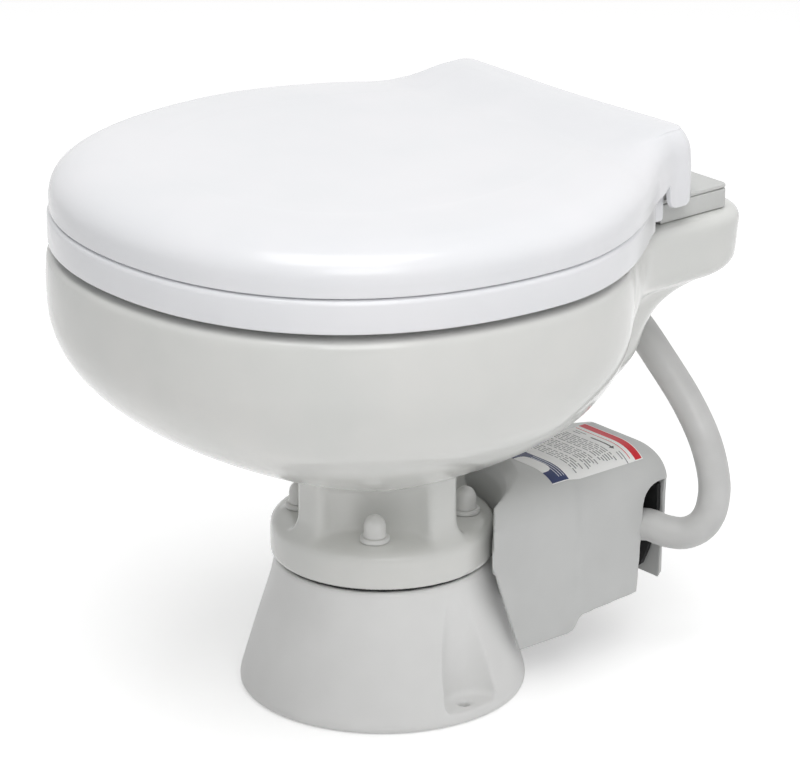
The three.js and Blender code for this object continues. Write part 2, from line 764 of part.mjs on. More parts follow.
// Shares of the lid's rise, and how far each level is drawn in
const lidRiseShares = [0, 0.25, 0.45, 0.6, 0.72, 0.82, 0.9, 0.955, 0.99];
const lidInsetShares = [0, 0, 0.0067, 0.0222, 0.0472, 0.0833, 0.1389, 0.2333, 0.3667];
const lidTailInsetShares = [0, 0, 0, 0.004, 0.0125, 0.025, 0.043, 0.07, 0.22];
const hollowRiseShares = [0.4, 0.62, 0.75, 0.82];
const hollowInsetShares = [0, 0.0222, 0.0556, 0.111];
const hollowTailInsetShares = [0, 0.0028, 0.028, 0.044];

const tailBlend = (point) => smooth(point.y, lidTailFrom, lidTailAt);
const lidRise = (point) => lidFrontRise + (lidTailRise - lidFrontRise) * tailBlend(point);
const lidLevel = (share) => (point) => lidUnderside + share * lidRise(point);

function makeLid() {
  const outline = tailedEgg(lidForm());
  const level = (drawn, share) => drawn.map((point, i) => (
    new THREE.Vector3(point.x, point.y, lidLevel(share)(outline[i]))));
  const blended = (body, tail) => (point) => body + (tail - body) * tailBlend(point);
  const ring = (share, i) => level(drawnIn(outline,
    blended(lidInsetShares[i] * lidSide, lidTailInsetShares[i] * lidSide)), share);
  const outer = loft(lidRiseShares.map(ring));
  const wallAt = (point) => lidLip + (lobeWall - lidLip) * smooth(point.y,
    lidWaist.y - wallBlend.before, lidWaist.y + wallBlend.after);
  const hollowRing = (share, i) => {
    const extra = blended(hollowInsetShares[i] * lidSide, hollowTailInsetShares[i] * lidSide);
    return level(drawnIn(outline, (point) => wallAt(point) + extra(point)), share);
  };
  const hollow = loft([
    atHeight(drawnIn(outline, wallAt), lidUnderside - overrun),
    ...hollowRiseShares.map(hollowRing),
  ]);
  const lobeCentre = { y: lidBack - lobeRadius - lobeWall / 2, z: lidUnderside - lobeDrop + lobeRadius };
  const lobeSlab = planProfile(outline.map((point) => [point.x, point.y]),
    lidUnderside - lobeDrop - overrun, lidUnderside + overrun);
  const lobeShape = join(
    alongX(lobeCentre.y, lobeCentre.z, -lidTail - overrun, lidTail + overrun, lobeRadius, roundSides),
    block([-lidTail - overrun, lobeCentre.y - lobeRadius, lobeCentre.z],
      [lidTail + overrun, lobeCentre.y + lobeRadius, lidUnderside + overrun]),
  );
  const between = block([-lidTail + lobeWall, lobeCentre.y - lobeRadius - overrun, 0],
    [lidTail - lobeWall, lidBack + overrun, lidUnderside + overrun]);
  const lobes = cut(lobeSlab.intersect(lobeShape), between);
  const rearWindow = block([-rodReach - gap * 2, hingeAt + knuckleRadius / 2, lidUnderside - overrun],
    [rodReach + gap * 2, lidBack + overrun, hingeHeight + knuckleRadius + windowGap]);
  const ears = [-1, 1].map((side) => makeLidEar(side));
  const rodHole = alongX(hingeAt, hingeHeight, -rodReach - gap * 2, rodReach + gap * 2,
    rodRadius + runningGap);
  const sockets = lidBumperPlaces.map(([x, y]) => (
    upright(x, y, lidUnderside - overrun, lidUnderside + bumperSink, lidBumperRadius + gap)));
  const shell = join(cut(outer, hollow, rearWindow), lobes);
  return cut(join(shell, ...ears), rodHole, ...sockets);
}

function makeLidEar(side) {
  const low = side > 0 ? lidEarInner : -lidEarInner - earWidth;
  const web = block([low, hingeAt - knuckleRadius, hingeHeight],
    [low + earWidth, hingeAt + knuckleRadius, lidUnderside + lidTailRise - knuckleRadius / 2]);
  return join(web, alongX(hingeAt, hingeHeight, low, low + earWidth, knuckleRadius));
}

const lidBumperShares = [[0.62, -0.715], [-0.62, -0.715]];
const lidBumperPlaces = lidBumperShares.map(([across, along]) => [across * lidSide, -along * lidFront]);

function makeLidBumper([x, y]) {
  return upright(x, y, seatTop + gap, lidUnderside + bumperSink - gap, lidBumperRadius);
}

// Hinge

const blockBottom = rimHeight + gap;
const blockTop = blockBottom + blockThickness;

function blockOutline(front) {
  const side = blockSide;
  const r = blockCorner;
  return [
    [-side, front], [side, front], [side, blockBack - r], [side - r * 0.3, blockBack - r * 0.3],
    [side - r, blockBack], [-side + r, blockBack], [-side + r * 0.3, blockBack - r * 0.3],
    [-side, blockBack - r],
  ];
}

function makeHingeBlock() {
  const slab = planProfile(blockOutline(blockFront), blockBottom, blockTop);
  const tongue = block([-towerSide, towerFront, blockBottom], [towerSide, blockFront + overrun, blockTop]);
  const column = block([-towerSide, towerFront, blockBottom],
    [towerSide, towerFront + towerColumn, hingeHeight + armAbove]);
  const arm = block([-towerSide, towerFront, hingeHeight - armBelow],
    [towerSide, hingeAt, hingeHeight + armAbove]);
  const barrel = alongX(hingeAt, hingeHeight, -towerSide, towerSide, knuckleRadius);
  const bore = alongX(hingeAt, hingeHeight, -towerSide - overrun, towerSide + overrun, rodRadius + gap);
  const holes = [-1, 1].flatMap((side) => [
    upright(side * hingeBoltAt.x, hingeBoltAt.y, blockBottom - overrun, blockTop + overrun,
      hingeBoltRadius + runningGap),
    hexagon(side * hingeBoltAt.x, hingeBoltAt.y, blockTop - boltHeadHeight - gap, blockTop + overrun,
      hingeBoltHead + runningGap),
  ]);
  return cut(join(slab, tongue, column, arm, barrel), bore, ...holes);
}

function makeHingePlate() {
  return planProfile(blockOutline(blockFront), blockTop + gap, blockTop + gap + plateThickness);
}

function makeHingeRod() {
  return alongX(hingeAt, hingeHeight, -rodReach, rodReach, rodRadius);
}

function makeHingeBolt(side) {
  const [x, y] = [side * hingeBoltAt.x, hingeBoltAt.y];
  const head = blockTop - gap;
  return join(
    hexagon(x, y, head - boltHeadHeight, head, hingeBoltHead),
    upright(x, y, head - hingeBoltLength, head - boltHeadHeight / 2, hingeBoltRadius),
  );
}

function makeHingeNut(side) {
  const [x, y] = [side * hingeBoltAt.x, hingeBoltAt.y];
  const high = shelfUnderside - gap;
  return cut(hexagon(x, y, high - hingeNutHeight, high, hingeNutRadius),
    upright(x, y, high - hingeNutHeight - overrun, high + overrun, hingeBoltRadius + runningGap));
}

// Motor cover

function coverOutline(shrink) {
  const side = coverSide - shrink;
  const rearSide = side - coverStep;
  const back = coverBack - shrink;
  const corner = coverCorner - shrink;
  const half = [
    new THREE.Vector2(0, coverFront), new THREE.Vector2(side, coverFront),
    new THREE.Vector2(side, coverStepAt), new THREE.Vector2(rearSide, coverStepAt + coverStepLength),
  ];
  const cornerSteps = 4;
  half.push(...roundCorner(rearSide, back, corner, cornerSteps, 0));
  half.push(new THREE.Vector2(0, back));
  return mirrored(half);
}

// Shares of the shoulder's height, and how far each level is drawn in
const shoulderShares = [0, 0.35, 0.6, 0.8, 0.92, 1];
const shoulderInsetShares = [0, 0.0195, 0.0584, 0.13, 0.234, 0.4156];
const shoulderRearInsetShares = [0, 0.0028, 0.0084, 0.0223, 0.0419, 0.0894];

function coverBody(shrink) {
  const outline = coverOutline(shrink);
  const low = coverTop - coverShoulder - shrink;
  const levels = shoulderShares.map((share, i) => {
    const drawn = outline.map((point) => {
      const rear = smooth(point.y, coverStepAt, coverBack);
      const across = point.x * (1 - shoulderInsetShares[i]);
      return new THREE.Vector2(across, point.y - shoulderRearInsetShares[i] * coverBack * rear);
    });
    return atHeight(drawn, low + share * coverShoulder);
  });
  return loft([atHeight(outline, -overrun), ...levels]);
}

function makeCover() {
  const shell = cut(coverBody(0), coverBody(coverWall));
  const around = join(
    upright(0, 0, seamHeight - overrun, flangeTop + coverFitGap, flangeRadius + coverFitGap,
      flangeRadius + coverFitGap, roundSides * 2),
    upright(0, 0, -2 * overrun, baseFootHeight, baseFootRadius + coverFitGap, baseFootRadius + coverFitGap,
      roundSides * 2),
    upright(0, 0, baseFootHeight, seamHeight, baseFootRadius + coverFitGap, baseTopRadius + coverFitGap,
      roundSides * 2),
  );
  const wide = coverSide + overrun;
  const floorCut = sideProfile([
    [-overrun, -2 * overrun], [coverBack + overrun, -2 * overrun],
    [coverBack + overrun, coverBackFloor + coverFloorRise],
    [coverStepAt + coverStepLength, coverBackFloor - coverFloorRise / 2],
    [coverStepAt + coverStepLength * 0.5, coverBackFloor - coverFloorRise],
    [coverStepAt - coverStepLength * 0.3, coverFrontFloor + coverFloorRise / 2],
    [coverStepAt - coverStepLength, coverFrontFloor], [-overrun, coverFrontFloor],
  ], -wide, wide);
  const frontTrim = sideProfile([
    [-overrun, -2 * overrun], [coverHeelAt, -2 * overrun], [coverHeelAt, coverFrontFloor],
    [coverToeAt, seamHeight], [coverToeAt, flangeTop + coverFitGap], [-overrun, flangeTop + coverFitGap],
  ], -wide, wide);
  const boltReach = boltCircle * Math.SQRT1_2 + washerRadius + capRoom;
  const above = [flangeTop - overrun, coverTop + overrun];
  const capClearance = block([-boltReach, -overrun, above[0]], [boltReach, boltReach, above[1]]);
  const pillarClearance = block([-pillarWidth / 2 - capRoom, 0, above[0]],
    [pillarWidth / 2 + capRoom, pillarReach + capRoom, above[1]]);
  const notches = [-1, 1].map((side) => {
    const arch = notchTop - notchArch;
    const [near, far] = side > 0 ? [notchReach, wide] : [-wide, -notchReach];
    return sideProfile([
      [notchAt, 0], [coverBack + overrun, 0], [coverBack + overrun, notchTop],
      [notchAt + notchArch * 1.6, notchTop], [notchAt + notchArch * 0.6, notchTop - notchArch * 0.3],
      [notchAt + notchArch * 0.12, arch], [notchAt, arch - notchArch],
    ], near, far);
  });
  const portRoom = spigotRadius + capRoom;
  const portNotch = block([-wide, housingMiddle - portRoom, -overrun],
    [-coverSide + 3 * coverWall, housingMiddle + portRoom, shaftHeight + portRoom]);
  const screwHoles = [-1, 1].map((side) => (
    alongY(side * coverScrewAt.x, coverScrewAt.z, coverBack - 3 * coverWall, coverBack + overrun,
      coverScrewRadius + runningGap)));
  const glandHole = alongY(glandAt.x, glandAt.z, coverBack - 3 * coverWall, coverBack + overrun,
    glandRadius * 0.7 + runningGap);
  return cut(shell, around, floorCut, frontTrim, capClearance, pillarClearance, ...notches, portNotch,
    ...screwHoles, glandHole);
}

function makeLabel() {
  const skin = cut(coverBody(-gap - labelThickness), coverBody(-gap));
  const area = block([labelSide.left, labelFront, coverTop - coverShoulder / 2],
    [labelSide.right, labelBack, coverTop + 2 * coverShoulder]);
  return skin.intersect(area);
}

function makeCoverScrew(side) {
  const [x, z] = [side * coverScrewAt.x, coverScrewAt.z];
  return join(
    alongY(x, z, coverBack + gap, coverBack + gap + coverScrewRadius, coverScrewHead),
    alongY(x, z, coverBack - coverScrewLength, coverBack + gap * 2, coverScrewRadius),
  );
}

function makeCableGland() {
  const { x, z } = glandAt;
  const outside = join(
    alongY(x, z, coverBack + gap, coverBack + glandLength * 0.4, glandRadius, hexagonSides),
    alongY(x, z, coverBack + glandLength * 0.3, coverBack + glandLength, glandRadius * 0.85),
    alongY(x, z, coverBack - glandLength * 0.4, coverBack + gap * 2, glandRadius * 0.7),
  );
  return cut(outside, alongY(x, z, coverBack - glandLength, coverBack + 2 * glandLength, glandRadius * 0.4));
}

// Pump and motor

const housingBack = housingFront + housingLength;
const housingMiddle = housingFront + housingLength / 2;
const adapterFront = housingBack + gap;
const adapterBack = adapterFront + adapterThickness;
const canFront = adapterBack + gap;
const canBack = canFront + canLength;
const bellFront = canBack + gap;
const bellBack = bellFront + bellLength;
const pumpFront = bellBack + gap;
const pumpBack = pumpFront + pumpLength;
const pumpMiddle = hoseRoute[0][1];

function makeOutletElbow() {
  const plateBottom = seamHeight - baseTopPlate;
  const top = seamHeight;
  const low = shaftHeight - elbowRadius;
  const reach = housingFront - gap;
  const outside = join(
    upright(0, 0, low, top, elbowRadius + elbowWall, outletRadius + elbowWall, roundSides),
    upright(0, 0, plateBottom, top, elbowFlange, elbowFlange, roundSides),
    alongY(0, shaftHeight, 0, reach, elbowRadius, roundSides),
  );
  return cut(outside,
    upright(0, 0, shaftHeight - elbowBore, top + overrun, elbowBore, outletRadius, roundSides),
    alongY(0, shaftHeight, 0, reach + overrun, elbowBore, roundSides));
}

function makeMaceratorHousing() {
  const outside = join(
    alongY(0, shaftHeight, housingFront, housingBack, housingRadius, roundSides),
    alongX(housingMiddle, shaftHeight, -portReach, 0, portRadius),
  );
  return cut(outside,
    alongY(0, shaftHeight, housingFront + housingWall, housingBack + overrun, housingRadius - housingWall,
      roundSides),
    alongY(0, shaftHeight, housingFront - overrun, housingFront + housingWall + overrun, elbowBore,
      roundSides),
    alongX(housingMiddle, shaftHeight, -portReach - overrun, -housingWall, portBore));
}

// A rubber duckbill that closes against backflow
function makeJokerValve() {
  const start = -portReach - gap;
  const cone = (tip, root, length, middle) => toSolid(
    new THREE.CylinderGeometry(tip, root, length, smallSides)
      .rotateZ(right).translate(middle, housingMiddle, shaftHeight));
  const outer = join(
    alongX(housingMiddle, shaftHeight, start - valveRim, start, spigotBore - gap),
    cone(valveLip * 1.6, spigotBore - valveRim, valveLength, start - valveRim - valveLength / 2),
  );
  const inner = cone(valveLip / 2, spigotBore - valveRim * 1.5, valveLength + 2 * valveRim,
    start - valveLength / 2);
  return cut(outer, inner);
}

function makeDischargeSpigot() {
  const start = -portReach + portRadius * 0.7;
  const end = start - spigotLength;
  const barbs = [0.35, 0.6, 0.85].map((share) => {
    const at = start + (end - start) * share;
    return alongX(housingMiddle, shaftHeight, at - spigotBarb.half, at + spigotBarb.half,
      spigotRadius + spigotBarb.height, roundSides);
  });
  const outside = join(alongX(housingMiddle, shaftHeight, end, start, spigotRadius, roundSides), ...barbs);
  return cut(outside,
    alongX(housingMiddle, shaftHeight, end - overrun, start + overrun, spigotBore, roundSides));
}

function makeMotorAdapter() {
  return cut(alongY(0, shaftHeight, adapterFront, adapterBack, adapterRadius, roundSides),
    alongY(0, shaftHeight, adapterFront - overrun, adapterBack + overrun, shaftRadius + runningGap),
    alongY(0, shaftHeight, adapterFront - overrun, adapterFront + adapterThickness / 2, sealRadius + gap));
}

function makeShaftSeal() {
  return cut(alongY(0, shaftHeight, adapterFront, adapterFront + adapterThickness / 2 - gap, sealRadius),
    alongY(0, shaftHeight, adapterFront - overrun, adapterBack, shaftRadius + runningGap));
}

function makeMotorCan() {
  return cut(alongY(0, shaftHeight, canFront, canBack, canRadius, roundSides),
    alongY(0, shaftHeight, canFront - overrun, canBack + overrun, canRadius - canWall, roundSides));
}

function makeMotorBell() {
  return cut(alongY(0, shaftHeight, bellFront, bellBack, canRadius, roundSides),
    alongY(0, shaftHeight, bellFront - overrun, bellBack + overrun, shaftRadius + runningGap),
    alongY(0, shaftHeight, bellFront - overrun, bellFront + bellLength / 2, canRadius - 2 * canWall,
      roundSides));
}

function makeArmature() {
  const slots = 8;
  const length = canLength * 0.7;
  const front = canFront + (canLength - length) / 2;
  const core = alongY(0, shaftHeight, front, front + length, armatureRadius, roundSides);
  const grooves = Array.from({ length: slots }, (_, i) => {
    const angle = (full * i) / slots;
    return alongY(armatureRadius * Math.cos(angle), shaftHeight + armatureRadius * Math.sin(angle),
      front - overrun, front + length + overrun, armatureRadius / 9, 8);
  });
  return cut(core, ...grooves,
    alongY(0, shaftHeight, front - overrun, front + length + overrun, shaftRadius + gap));
}

function makeMotorShaft() {
  return alongY(0, shaftHeight, housingFront + housingWall * 1.5, pumpBack - gap * 2, shaftRadius);
}

const bladeFront = housingFront + housingWall * 1.5 + bladeRoom;

function makeMaceratorBlade() {
  const hub = alongY(0, shaftHeight, bladeFront, bladeFront + 2 * bladeThickness, shaftRadius * 2);
  const bar = block([-bladeReach, bladeFront, shaftHeight - bladeChord / 2],
    [bladeReach, bladeFront + bladeThickness, shaftHeight + bladeChord / 2]);
  return cut(join(hub, bar), alongY(0, shaftHeight, 0, housingBack, shaftRadius + gap));
}

function makeImpeller(front, length, radius, vanes, solidBack) {
  const hub = alongY(0, shaftHeight, front, front + length, shaftRadius * 2);
  const blades = Array.from({ length: vanes }, (_, i) => (
    block([-vaneHalf, 0, 0], [vaneHalf, length, radius]).rotate([0, (360 * i) / vanes, 0])
      .translate([0, front, shaftHeight])));
  const end = front + length;
  const back = solidBack ? [alongY(0, shaftHeight, end - 2 * vaneHalf, end, radius, roundSides)] : [];
  return cut(join(hub, ...blades, ...back),
    alongY(0, shaftHeight, front - overrun, front + length + overrun, shaftRadius + gap));
}

function makeRinsePumpBody() {
  const outside = alongY(0, shaftHeight, pumpFront, pumpBack, pumpRadius, roundSides);
  const ports = [-1, 1].map((side) => {
    const boss = barbRadius + pumpWall;
    const [low, high] = side > 0 ? [0, pumpRadius] : [-pumpRadius, 0];
    return alongX(pumpMiddle, barbHeight, low, high, boss);
  });
  const room = block([-2 * pumpRadius, pumpFront, 0], [2 * pumpRadius, pumpBack, coverTop]);
  return cut(join(outside, ...ports).intersect(room),
    alongY(0, shaftHeight, pumpFront + pumpWall, pumpBack + overrun, pumpRadius - pumpWall, roundSides),
    alongY(0, shaftHeight, pumpFront - overrun, pumpFront + 2 * pumpWall, shaftRadius + runningGap),
    alongX(pumpMiddle, barbHeight, -2 * pumpRadius, 2 * pumpRadius, barbBore));
}

function makeRinsePumpLid() {
  return alongY(0, shaftHeight, pumpBack + gap, pumpBack + gap + pumpLid, pumpRadius, roundSides);
}

// A hose tail with two barbs, its root on the given face
function hoseTail(length) {
  const stem = barbRadius - barbRidge.height;
  const ridges = [0.3, 0.62, 0.94].map((share) => (
    upright(0, 0, length * share - barbRidge.length, length * share, stem, barbRadius)));
  const collar = hexagon(0, 0, 0, length * 0.12, barbRadius + barbCollar);
  return cut(join(collar, upright(0, 0, 0, length, stem), ...ridges),
    upright(0, 0, -overrun, length + overrun, barbBore));
}

const barbLength = hoseGripLength + barbRoot;
const inletTailShare = 0.9;

function makeBarb(side) {
  const face = side * (pumpRadius + gap);
  return hoseTail(barbLength).rotate([0, side * 90, 0]).translate([face, pumpMiddle, barbHeight]);
}

function makeInletSpigot() {
  const tail = hoseTail(barbLength * inletTailShare);
  return tail.rotate([-90, 0, 0]).translate([0, inletFace + gap, inletHeight]);
}

// Rinse hose

const hosePath = new THREE.CatmullRomCurve3(hoseRoute.map((place) => new THREE.Vector3(...place)));

function makeHose() {
  const outerSides = 12;
  const innerSides = 8;
  const circle = (radius, sides) => Array.from({ length: sides }, (_, i) => (
    new THREE.Vector2(radius * Math.cos((full * i) / sides), radius * Math.sin((full * i) / sides))));
  const section = new THREE.Shape(circle(hoseRadius, outerSides));
  section.holes.push(new THREE.Path(circle(hoseBore + gap, innerSides)));
  const steps = 44;
  return toSolid(new THREE.ExtrudeGeometry(section, { steps, bevelEnabled: false, extrudePath: hosePath }));
}

function makeClip(share) {
  const at = hosePath.getPointAt(share);
  const along = hosePath.getTangentAt(share);
  const inner = hoseRadius + gap;
  const outer = inner + clipThickness;
  const ring = cut(upright(0, 0, -clipWidth / 2, clipWidth / 2, outer, outer, roundSides),
    upright(0, 0, -clipWidth, clipWidth, inner, inner, roundSides));
  const screw = cut(block([outer - clipThickness, -clipWidth / 2, -clipWidth / 2 + gap],
    [outer + clipWidth / 2, clipWidth / 2, clipWidth / 2 - gap]),
  upright(0, 0, -clipWidth, clipWidth, inner, inner, roundSides));
  const turn = new THREE.Quaternion().setFromUnitVectors(new THREE.Vector3(0, 0, 1), along);
  const matrix = new THREE.Matrix4().compose(at, turn, new THREE.Vector3(1, 1, 1));
  return join(ring, screw).transform(matrix.elements);
}

// The assembly

const object = new THREE.Group();
object.position.y = -(bowlFront + shelfBack) / 2;

function add(name, finish, solid) {
  const material = new THREE.MeshStandardMaterial(finishes[finish]);
  const mesh = new THREE.Mesh(toGeometry(solid), material);
  mesh.name = name;
  object.add(mesh);
}

add('pedestal', 'pedestalPlastic', makePedestal());
add('bowl_gasket', 'sealRubber', makeGasket());
add('bowl', 'porcelain', makeBowl());
boltPlaces.forEach(([x, y], i) => {
  add(`flange_bolt_${i + 1}`, 'steel', makeFlangeBolt(x, y));
  add(`flange_washer_${i + 1}`, 'capPlastic', makeFlangeWasher(x, y));
  add(`flange_nut_${i + 1}`, 'steel', makeFlangeNut(x, y));
  add(`dome_cap_${i + 1}`, 'capPlastic', makeDomeCap(x, y));
});

add('seat_ring', 'seatPlastic', makeSeatRing());
seatBumperPlaces.forEach((place, i) => add(`seat_bumper_${i + 1}`, 'bufferRubber', makeSeatBumper(place)));
add('lid', 'seatPlastic', makeLid());
lidBumperPlaces.forEach((place, i) => add(`lid_bumper_${i + 1}`, 'bufferRubber', makeLidBumper(place)));

add('hinge_block', 'hingePlastic', makeHingeBlock());
add('hinge_cover_plate', 'hingePlastic', makeHingePlate());
add('hinge_rod', 'steel', makeHingeRod());
[['left', -1], ['right', 1]].forEach(([name, side]) => {
  add(`hinge_bolt_${name}`, 'steel', makeHingeBolt(side));
  add(`hinge_nut_${name}`, 'capPlastic', makeHingeNut(side));
});

add('motor_cover', 'coverPlastic', makeCover());
add('cover_label', 'label', makeLabel());
add('cover_screw_left', 'steel', makeCoverScrew(-1));
add('cover_screw_right', 'steel', makeCoverScrew(1));
add('cable_gland', 'pumpPlastic', makeCableGland());

add('outlet_elbow', 'pumpPlastic', makeOutletElbow());
add('macerator_housing', 'pumpPlastic', makeMaceratorHousing());
add('joker_valve', 'sealRubber', makeJokerValve());
add('discharge_spigot', 'pumpPlastic', makeDischargeSpigot());
add('motor_adapter', 'pumpPlastic', makeMotorAdapter());
add('shaft_seal', 'sealRubber', makeShaftSeal());
add('motor_can', 'motorSteel', makeMotorCan());
add('motor_rear_bell', 'motorSteel', makeMotorBell());
add('motor_armature', 'steel', makeArmature());
add('motor_shaft', 'steel', makeMotorShaft());
add('macerator_blade', 'steel', makeMaceratorBlade());
add('discharge_impeller', 'pumpPlastic',
  makeImpeller(bladeFront + 2 * bladeThickness + bladeRoom, housingLength * 0.32, impellerRadius, 5, true));
add('rinse_pump_body', 'pumpPlastic', makeRinsePumpBody());
add('rinse_pump_lid', 'brass', makeRinsePumpLid());
add('rinse_impeller', 'sealRubber',
  makeImpeller(pumpFront + pumpWall + vaneRoom, pumpLength - pumpWall - 2 * vaneRoom,
    pumpRadius - pumpWall - vaneRoom, 6, false));
add('rinse_outlet_barb', 'pumpPlastic', makeBarb(1));
add('rinse_inlet_barb', 'pumpPlastic', makeBarb(-1));
add('bowl_inlet_spigot', 'pumpPlastic', makeInletSpigot());
add('rinse_hose', 'hoseVinyl', makeHose());
add('hose_clip_pump', 'steel', makeClip(pumpClipShare));
add('hose_clip_bowl', 'steel', makeClip(bowlClipShare));

export default object;
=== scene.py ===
# %% [markdown]
# # Dressing an electric marine toilet
#
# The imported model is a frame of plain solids: it says where everything sits and how it moves.
# This lesson puts smooth, finished pieces around it. Each piece is drawn in millimetres from
# the axis of the pedestal, as the maker's drawing would be, and then placed in metres.

# %% Load the frame
import math

import bmesh
import bpy
import numpy as np
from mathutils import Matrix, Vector


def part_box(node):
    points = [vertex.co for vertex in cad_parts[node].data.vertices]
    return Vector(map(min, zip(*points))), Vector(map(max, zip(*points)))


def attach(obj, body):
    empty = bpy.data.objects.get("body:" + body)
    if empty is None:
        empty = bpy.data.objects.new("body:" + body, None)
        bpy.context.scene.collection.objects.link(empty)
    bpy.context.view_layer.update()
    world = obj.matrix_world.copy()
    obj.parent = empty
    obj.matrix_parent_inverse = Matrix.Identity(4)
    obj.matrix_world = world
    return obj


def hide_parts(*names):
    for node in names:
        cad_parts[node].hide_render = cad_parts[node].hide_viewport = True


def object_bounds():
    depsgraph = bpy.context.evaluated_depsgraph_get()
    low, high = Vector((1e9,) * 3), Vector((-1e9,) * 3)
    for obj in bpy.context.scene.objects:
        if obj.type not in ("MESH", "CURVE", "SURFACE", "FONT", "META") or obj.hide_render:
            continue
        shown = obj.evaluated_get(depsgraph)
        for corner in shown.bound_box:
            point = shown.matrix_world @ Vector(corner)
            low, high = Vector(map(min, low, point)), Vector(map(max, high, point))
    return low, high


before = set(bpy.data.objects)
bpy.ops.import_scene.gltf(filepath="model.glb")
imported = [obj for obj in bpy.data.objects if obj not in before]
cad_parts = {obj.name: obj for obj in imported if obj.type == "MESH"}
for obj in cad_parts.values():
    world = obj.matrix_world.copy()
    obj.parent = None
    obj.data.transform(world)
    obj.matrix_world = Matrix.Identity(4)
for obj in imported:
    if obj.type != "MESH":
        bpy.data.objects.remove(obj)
cad_low, cad_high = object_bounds()
cad_size = [round(1000 * side) for side in cad_high - cad_low]
print("the frame holds", len(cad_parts), "nodes and is", cad_size, "mm")

# %% [markdown]
# The drawing's zero is the pedestal's axis on the floor. In the frame that axis lies a little
# off the middle, so its place is read from the round gasket, which is centred on it.

# %% Millimetres from the pedestal's axis to metres in the frame
MM = 0.001
gasket_low, gasket_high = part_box("bowl_gasket")
axis_y = (gasket_low.y + gasket_high.y) / 2


def place(points):
    """Points in millimetres from the pedestal's axis, as points in the frame."""
    return np.asarray(points, float) * MM + (0, axis_y, 0)


print("the pedestal's axis is at y =", round(1000 * axis_y, 2), "mm")

# %% [markdown]
# The photograph was taken from the front right, a little above the rim, with a long lens.
# Its parallel lines barely meet, so a lens near 190 mm on a full-frame sensor fits it.

# %% Camera
CAMERA_AZIMUTH = 49.99
CAMERA_ELEVATION = 20.3
CAMERA_DISTANCE = 2.6177
AIM_ASIDE = 0.01103
AIM_HEIGHT = 0.19887
FOCAL_LENGTH = 189


def toward(azimuth, elevation):
    """The direction from the object to a viewer at that azimuth and elevation, in degrees."""
    turn, tilt = math.radians(azimuth), math.radians(elevation)
    return Vector((math.sin(turn) * math.cos(tilt), -math.cos(turn) * math.cos(tilt), math.sin(tilt)))


def linked(name, data):
    """A new object with that data, in the scene."""
    thing = bpy.data.objects.new(name, data)
    bpy.context.scene.collection.objects.link(thing)
    return thing


def stand(thing, spot, back):
    """Puts a camera or light at a spot, with its back to that direction."""
    thing.location = spot
    thing.rotation_mode = "QUATERNION"
    thing.rotation_quaternion = (-back).to_track_quat("-Z", "Y")


def set_camera():
    """Stands the camera at the photograph's viewpoint, and makes it the scene's camera."""
    turn, back = math.radians(CAMERA_AZIMUTH), toward(CAMERA_AZIMUTH, CAMERA_ELEVATION)
    aside = Vector((math.cos(turn), math.sin(turn), 0))
    camera = linked("camera", bpy.data.cameras.new("camera"))
    camera.data.lens = FOCAL_LENGTH
    camera.data.sensor_width = 36
    camera.data.clip_end = 50
    stand(camera, Vector((0, axis_y, AIM_HEIGHT)) + aside * AIM_ASIDE + back * CAMERA_DISTANCE, back)
    bpy.context.scene.camera = camera
    return camera


camera = set_camera()
print("the camera stands at", [round(x, 3) for x in camera.location])

# %% [markdown]
# ## Tools for materials
#
# A colour is written as the hex value that the eye sees on a screen. Blender calculates with
# light, so one function turns each value to linear. One more adds a node, its settings and
# its links, and every material below is built with these two.

# %% Colour and node helpers


def linear(hex_value):
    """An sRGB hex value, such as "f4f4f6", as linear red, green, blue and alpha."""
    parts = [int(hex_value[i:i + 2], 16) / 255 for i in (0, 2, 4)]
    return [p / 12.92 if p <= 0.04045 else ((p + 0.055) / 1.055) ** 2.4 for p in parts] + [1]


def add(tree, kind, inputs=None, **settings):
    """Adds a node. An input that is a socket is linked, and any other value is set."""
    node = tree.nodes.new(kind)
    for name, value in settings.items():
        setattr(node, name, value)
    for name, value in (inputs or {}).items():
        if isinstance(value, bpy.types.NodeSocket):
            tree.links.new(value, node.inputs[name])
        else:
            node.inputs[name].default_value = value
    return node


def cleared(block):
    """The node tree of a material or a world, emptied."""
    block.use_nodes = True
    block.node_tree.nodes.clear()
    return block.node_tree


print("a mid grey of 808080 is", round(linear("808080")[0], 3), "in linear light")

# %% [markdown]
# Every moulded, glazed or turned surface has two faint irregularities that the eye reads at
# once: its colour drifts over some centimetres, and its surface is never perfectly level. So
# most materials here share one recipe with their own numbers: a slow drift between two near
# colours, a roughness that wanders a little, and a fine relief whose grain is given in mm.

# %% The recipe shared by most finishes


def noise(tree, size_mm):
    """A smooth random value whose blotches are about size_mm across, from the piece's own coordinates."""
    point = add(tree, "ShaderNodeTexCoord").outputs["Object"]
    return add(tree, "ShaderNodeTexNoise", {
        "Vector": point, "Scale": 1 / (size_mm * MM), "Detail": 2.0, "Roughness": 0.5}).outputs["Fac"]


def blend_colours(tree, factor, first, second):
    """A colour that runs from first to second with the factor."""
    ramp = add(tree, "ShaderNodeValToRGB", {"Fac": factor})
    for element, position, colour in zip(ramp.color_ramp.elements, (0.35, 0.65), (first, second)):
        element.position = position
        element.color = linear(colour)
    return ramp.outputs["Color"]


def between(tree, value, low, high, start=0, end=1):
    """A value from start to end stretched to run from low to high."""
    return add(tree, "ShaderNodeMapRange", {
        "Value": value, "From Min": start, "From Max": end, "To Min": low, "To Max": high}).outputs["Result"]


